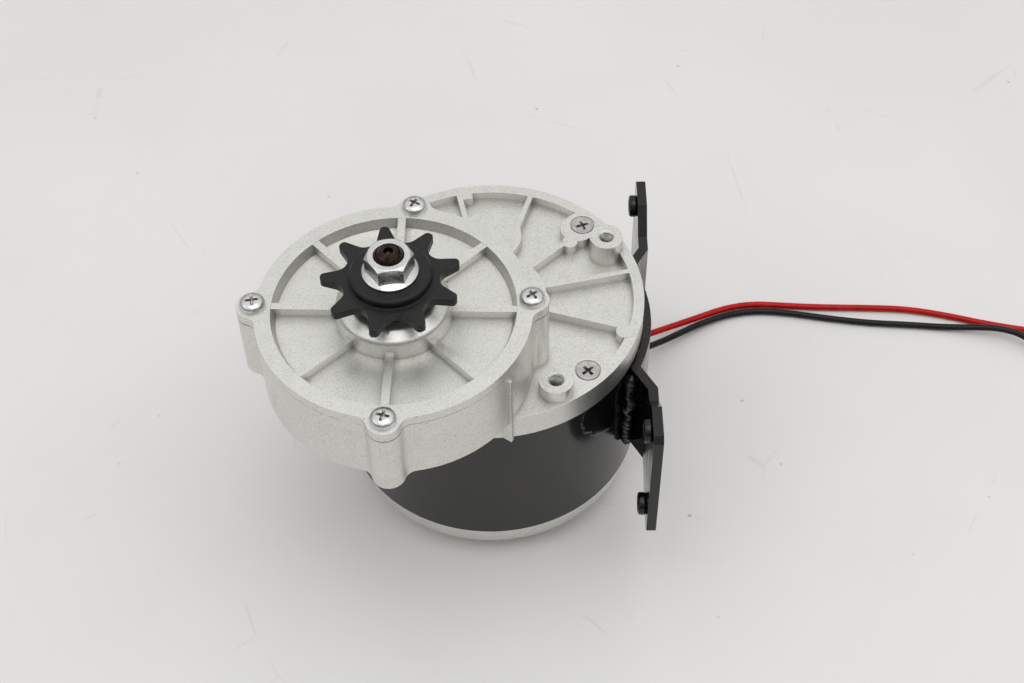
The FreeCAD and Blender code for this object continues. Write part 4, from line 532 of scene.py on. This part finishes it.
# The pieces that look different from the rest of their slot.
CUT_ALUMINIUM = plain_metal("cut_aluminium", (0.50, 0.50, 0.47), (0.64, 0.64, 0.60), 0.3)
OWN_FINISHES = {
    "motor_can": can_enamel(),
    "far_tapped_thread": CUT_ALUMINIUM,
    "near_tapped_thread": CUT_ALUMINIUM,
}


def finish_nodes():
    """Gives every CAD node its own finish, or that of its slot."""
    for name, piece in NODES.items():
        for place in piece.material_slots:
            usual = FINISHES[place.material.name.split(".")[0]]
            place.material = OWN_FINISHES.get(name, usual)


# Rounded edges and weld runs

# How wide a CAD node's edges are rounded in mm, from how sharp an angle in degrees, and in how
# many steps.
ROUNDINGS = {
    "gear_housing": (0.35, 35, 2),
    "gear_cover": (0.35, 35, 2),
    "mounting_bracket": (0.3, 35, 2),
    "sprocket": (0.3, 35, 2),
    "sprocket_collar": (0.2, 35, 2),
    "flange_nut": (0.22, 25, 3),
    "rear_cap": (0.4, 50, 2),
    "weld_nuts": (0.7, 50, 4),
    "motor_can": (0.2, 60, 2),
    "cover_screws": (0.12, 50, 2),
    "through_bolts": (0.12, 50, 2),
    "bearing_plate_screws": (0.12, 50, 2),
}
MERGE_DISTANCE = 0.001 * MM
FLAT_WITHIN = math.radians(0.3)


def soften(node, width, sharp, steps):
    """Rounds a CAD node's sharp edges by a width, as modifiers over its own mesh."""
    piece = NODES[node]
    weld = piece.modifiers.new("weld", "WELD")
    weld.merge_threshold = MERGE_DISTANCE
    flat = piece.modifiers.new("flat", "DECIMATE")
    flat.decimate_type = "DISSOLVE"
    flat.angle_limit = FLAT_WITHIN
    bevel = piece.modifiers.new("bevel", "BEVEL")
    bevel.width = width
    bevel.segments = steps
    bevel.limit_method = "ANGLE"
    bevel.angle_limit = math.radians(sharp)
    bevel.use_clamp_overlap = True
    weighted = piece.modifiers.new("weighted", "WEIGHTED_NORMAL")
    weighted.weight = 50


# The weld runs' voxels, and the size and push of their lumps and ripples, in mm.
WELD_VOXEL = 0.35
WELD_LUMPS = (("lumps", 3.6, 2.6), ("ripples", 1.4, 0.8))


def lump_welds():
    """Turns the weld runs' even beads into one rough run each, as modifiers."""
    piece = NODES["weld_beads"]
    remesh = piece.modifiers.new("remesh", "REMESH")
    remesh.mode = "VOXEL"
    remesh.voxel_size = WELD_VOXEL * MM
    remesh.use_smooth_shade = True
    for name, size, strength in WELD_LUMPS:
        texture = bpy.data.textures.new(name, "CLOUDS")
        texture.noise_scale = size * MM
        push = piece.modifiers.new(name, "DISPLACE")
        push.texture = texture
        push.texture_coords = "LOCAL"
        push.strength = strength * MM
        push.mid_level = 0.35
    calm = piece.modifiers.new("calm", "SMOOTH")
    calm.factor = 0.5
    calm.iterations = 5


# Threads

# Points in a turn, from crest to foot in pitches, the turns that a thread's ends fade over, and
# how far its feet are sunk into the face.
THREAD_STEPS = 48
THREAD_FOOT = 0.45
THREAD_FADE = 1 / 3
THREAD_SUNK = 0.02 * MM

# The stud's thread runs between two depths below the stud's end.
STUD_RADIUS = 4.0 * MM
STUD_CHAMFER = 1.2 * MM
STUD_PITCH = 0.8 * MM
STUD_DEPTH = 0.24 * MM
STUD_THREAD_LOW = 3.2 * MM
STUD_THREAD_HIGH = 0.5 * MM

# A tapped hole's thread stops short of the hole's bottom and of its mouth.
TAPPED_PITCH = 1.1 * MM
TAPPED_DEPTH = -0.4 * MM
SHORT_OF_BOTTOM = 0.6 * MM
SHORT_OF_MOUTH = 0.5 * MM


def make_thread(name, centre, low, high, pitch, radius, depth, body, slot, taper_above=math.inf):
    """A helical ridge standing a depth off a round face, inward where the depth is negative.

    The face keeps its radius up to taper_above, and narrows at 45 degrees from there.
    """
    turns = (high - low) / pitch
    points = []
    for i in range(round(turns * THREAD_STEPS) + 1):
        turned = i / THREAD_STEPS
        crest = max(0.0, min(1, turned / THREAD_FADE, (turns - turned) / THREAD_FADE))
        rise = low + pitch * turned
        face = radius - max(0.0, rise - taper_above) - math.copysign(THREAD_SUNK, depth)
        angle = 2 * math.pi * turned
        outward = Vector((math.cos(angle), math.sin(angle), 0))
        for lift, out in ((-THREAD_FOOT, 0), (0, crest), (THREAD_FOOT, 0)):
            points.append(centre + outward * (face + depth * out) + UP * (rise + lift * pitch))
    faces = []
    for i in range(len(points) // 3 - 1):
        for side in range(3):
            a, b = 3 * i + side, 3 * i + (side + 1) % 3
            faces.append((a, b, b + 3, a + 3))
    faces += [(2, 1, 0), tuple(range(len(points) - 3, len(points)))]
    mesh = bpy.data.meshes.new(name)
    mesh.from_pydata(points, [], faces)
    mesh.materials.append(OWN_FINISHES.get(name, FINISHES[slot]))
    piece = bpy.data.objects.new(name, mesh)
    bpy.context.scene.collection.objects.link(piece)
    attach(piece, body)


def make_stud_thread():
    """The output stud's thread above the nut, narrowing with the stud's chamfered end."""
    end = top("output_shaft")
    make_thread("stud_thread", Vector((OUTPUT.x, OUTPUT.y, 0)), end - STUD_THREAD_LOW,
                end - STUD_THREAD_HIGH, STUD_PITCH, STUD_RADIUS, STUD_DEPTH, "output",
                "ground_steel", taper_above=end - STUD_CHAMFER)


def make_tapped_thread(hole):
    """The thread in one of the housing's tapped bosses, from the hole's mount in the record."""
    x, y, middle = hole["pos_m"]
    half = hole["dims"]["length_mm"] * MM / 2
    radius = hole["dims"]["r_mm"] * MM
    name = hole["name"].replace("boss", "thread")
    make_thread(name, Vector((x, y, 0)), middle - half + SHORT_OF_BOTTOM,
                middle + half - SHORT_OF_MOUTH, TAPPED_PITCH, radius, TAPPED_DEPTH, "motor",
                "cast_aluminium")


# Stage

FLOOR_HALF = 2.5
LIT_SPOT = Vector((0, 0, 0.06))
LIGHT_SIZE = 1.0
LIGHTS = {
    "overhead": ((0.1, -0.2, 1.35), 4),
    "left": ((-1.1, -0.3, 0.95), 1.6),
    "right": ((1.1, -0.3, 0.95), 1.6),
}
TENT_COLOUR = (1.0, 0.996, 0.985, 1)

# The tent's brightness is a sum of two ramps, each over one part of the direction: from and to,
# and the brightness at each.
TENT_RAMPS = {
    "Z": (0.1, 0.95, 0.20, 0.86),
    "Y": (-0.6, 0.7, -0.05, 0.17),
}


def make_stage():
    """A pale, slightly marked floor."""
    f = Finish("floor")
    cloud = f.grain(160 * MM, 4)
    smudge = f.ramp(f.grain(14 * MM, 6, 0.7), 0.60, 0.74)
    specks = f.times(f.ramp(f.cells(16 * MM), 0.06, 0.03), f.ramp(f.grain(60 * MM, 2), 0.5, 0.6))
    scratch = f.scratches(60 * MM, 0.007, 0.58)
    base = f.mixed(f.ramp(cloud, 0.3, 0.7), grey(0.76, 1.012), grey(0.80, 1.012))
    base = f.mixed(f.times(smudge, 0.12), base, grey(0.6, 1.02))
    base = f.mixed(f.times(scratch, 0.18), base, grey(0.5, 1.02))
    base = f.mixed(f.times(specks, 0.5), base, grey(0.3, 1.02))
    f.bumped(f.grain(3 * MM), 0.02 * MM, 0.3)
    material = f.shade(base, f.ramp(cloud, 0.3, 0.7, 0.5, 0.6), 0.0)
    mesh = bpy.data.meshes.new("floor")
    corners = [(x * FLOOR_HALF, y * FLOOR_HALF, 0) for x, y in ((-1, -1), (1, -1), (1, 1), (-1, 1))]
    mesh.from_pydata(corners, [], [(0, 1, 2, 3)])
    mesh.materials.append(material)
    floor = bpy.data.objects.new("floor", mesh)
    bpy.context.scene.collection.objects.link(floor)


def make_light(name, at, power):
    """A soft square light that faces the motor."""
    data = bpy.data.lights.new(name, "AREA")
    data.shape = "SQUARE"
    data.size = LIGHT_SIZE
    data.energy = power
    light = bpy.data.objects.new(name, data)
    bpy.context.scene.collection.objects.link(light)
    light.location = at
    light.rotation_euler = (LIT_SPOT - Vector(at)).to_track_quat("-Z", "Y").to_euler()


def light_stage():
    """A white tent, dim low down in front, with soft lights overhead and at both sides."""
    world = bpy.data.worlds.new("studio")
    bpy.context.scene.world = world
    world.use_nodes = True
    nodes, links = world.node_tree.nodes, world.node_tree.links
    sky = nodes["Background"]
    sky.inputs["Color"].default_value = TENT_COLOUR
    split = nodes.new("ShaderNodeSeparateXYZ")
    links.new(nodes.new("ShaderNodeTexCoord").outputs["Generated"], split.inputs[0])
    total = nodes.new("ShaderNodeMath")
    for place, (axis, levels) in enumerate(TENT_RAMPS.items()):
        ramp = nodes.new("ShaderNodeMapRange")
        ramp.interpolation_type = "SMOOTHSTEP"
        links.new(split.outputs[axis], ramp.inputs["Value"])
        for name, level in zip(("From Min", "From Max", "To Min", "To Max"), levels):
            ramp.inputs[name].default_value = level
        links.new(ramp.outputs[0], total.inputs[place])
    links.new(total.outputs[0], sky.inputs["Strength"])
    for name, (at, power) in LIGHTS.items():
        make_light(name, at, power)
    bpy.context.scene.view_settings.view_transform = "Standard"


make_camera()
finish_nodes()
make_lead("red", 1, RED_ROUTE, RED_COIL)
make_lead("black", -1, BLACK_ROUTE, BLACK_COIL)
for node, (width, sharp, steps) in ROUNDINGS.items():
    soften(node, width * MM, sharp, steps)
lump_welds()
make_stud_thread()
for hole in TAPPED_HOLES:
    make_tapped_thread(hole)
make_stage()
light_stage()
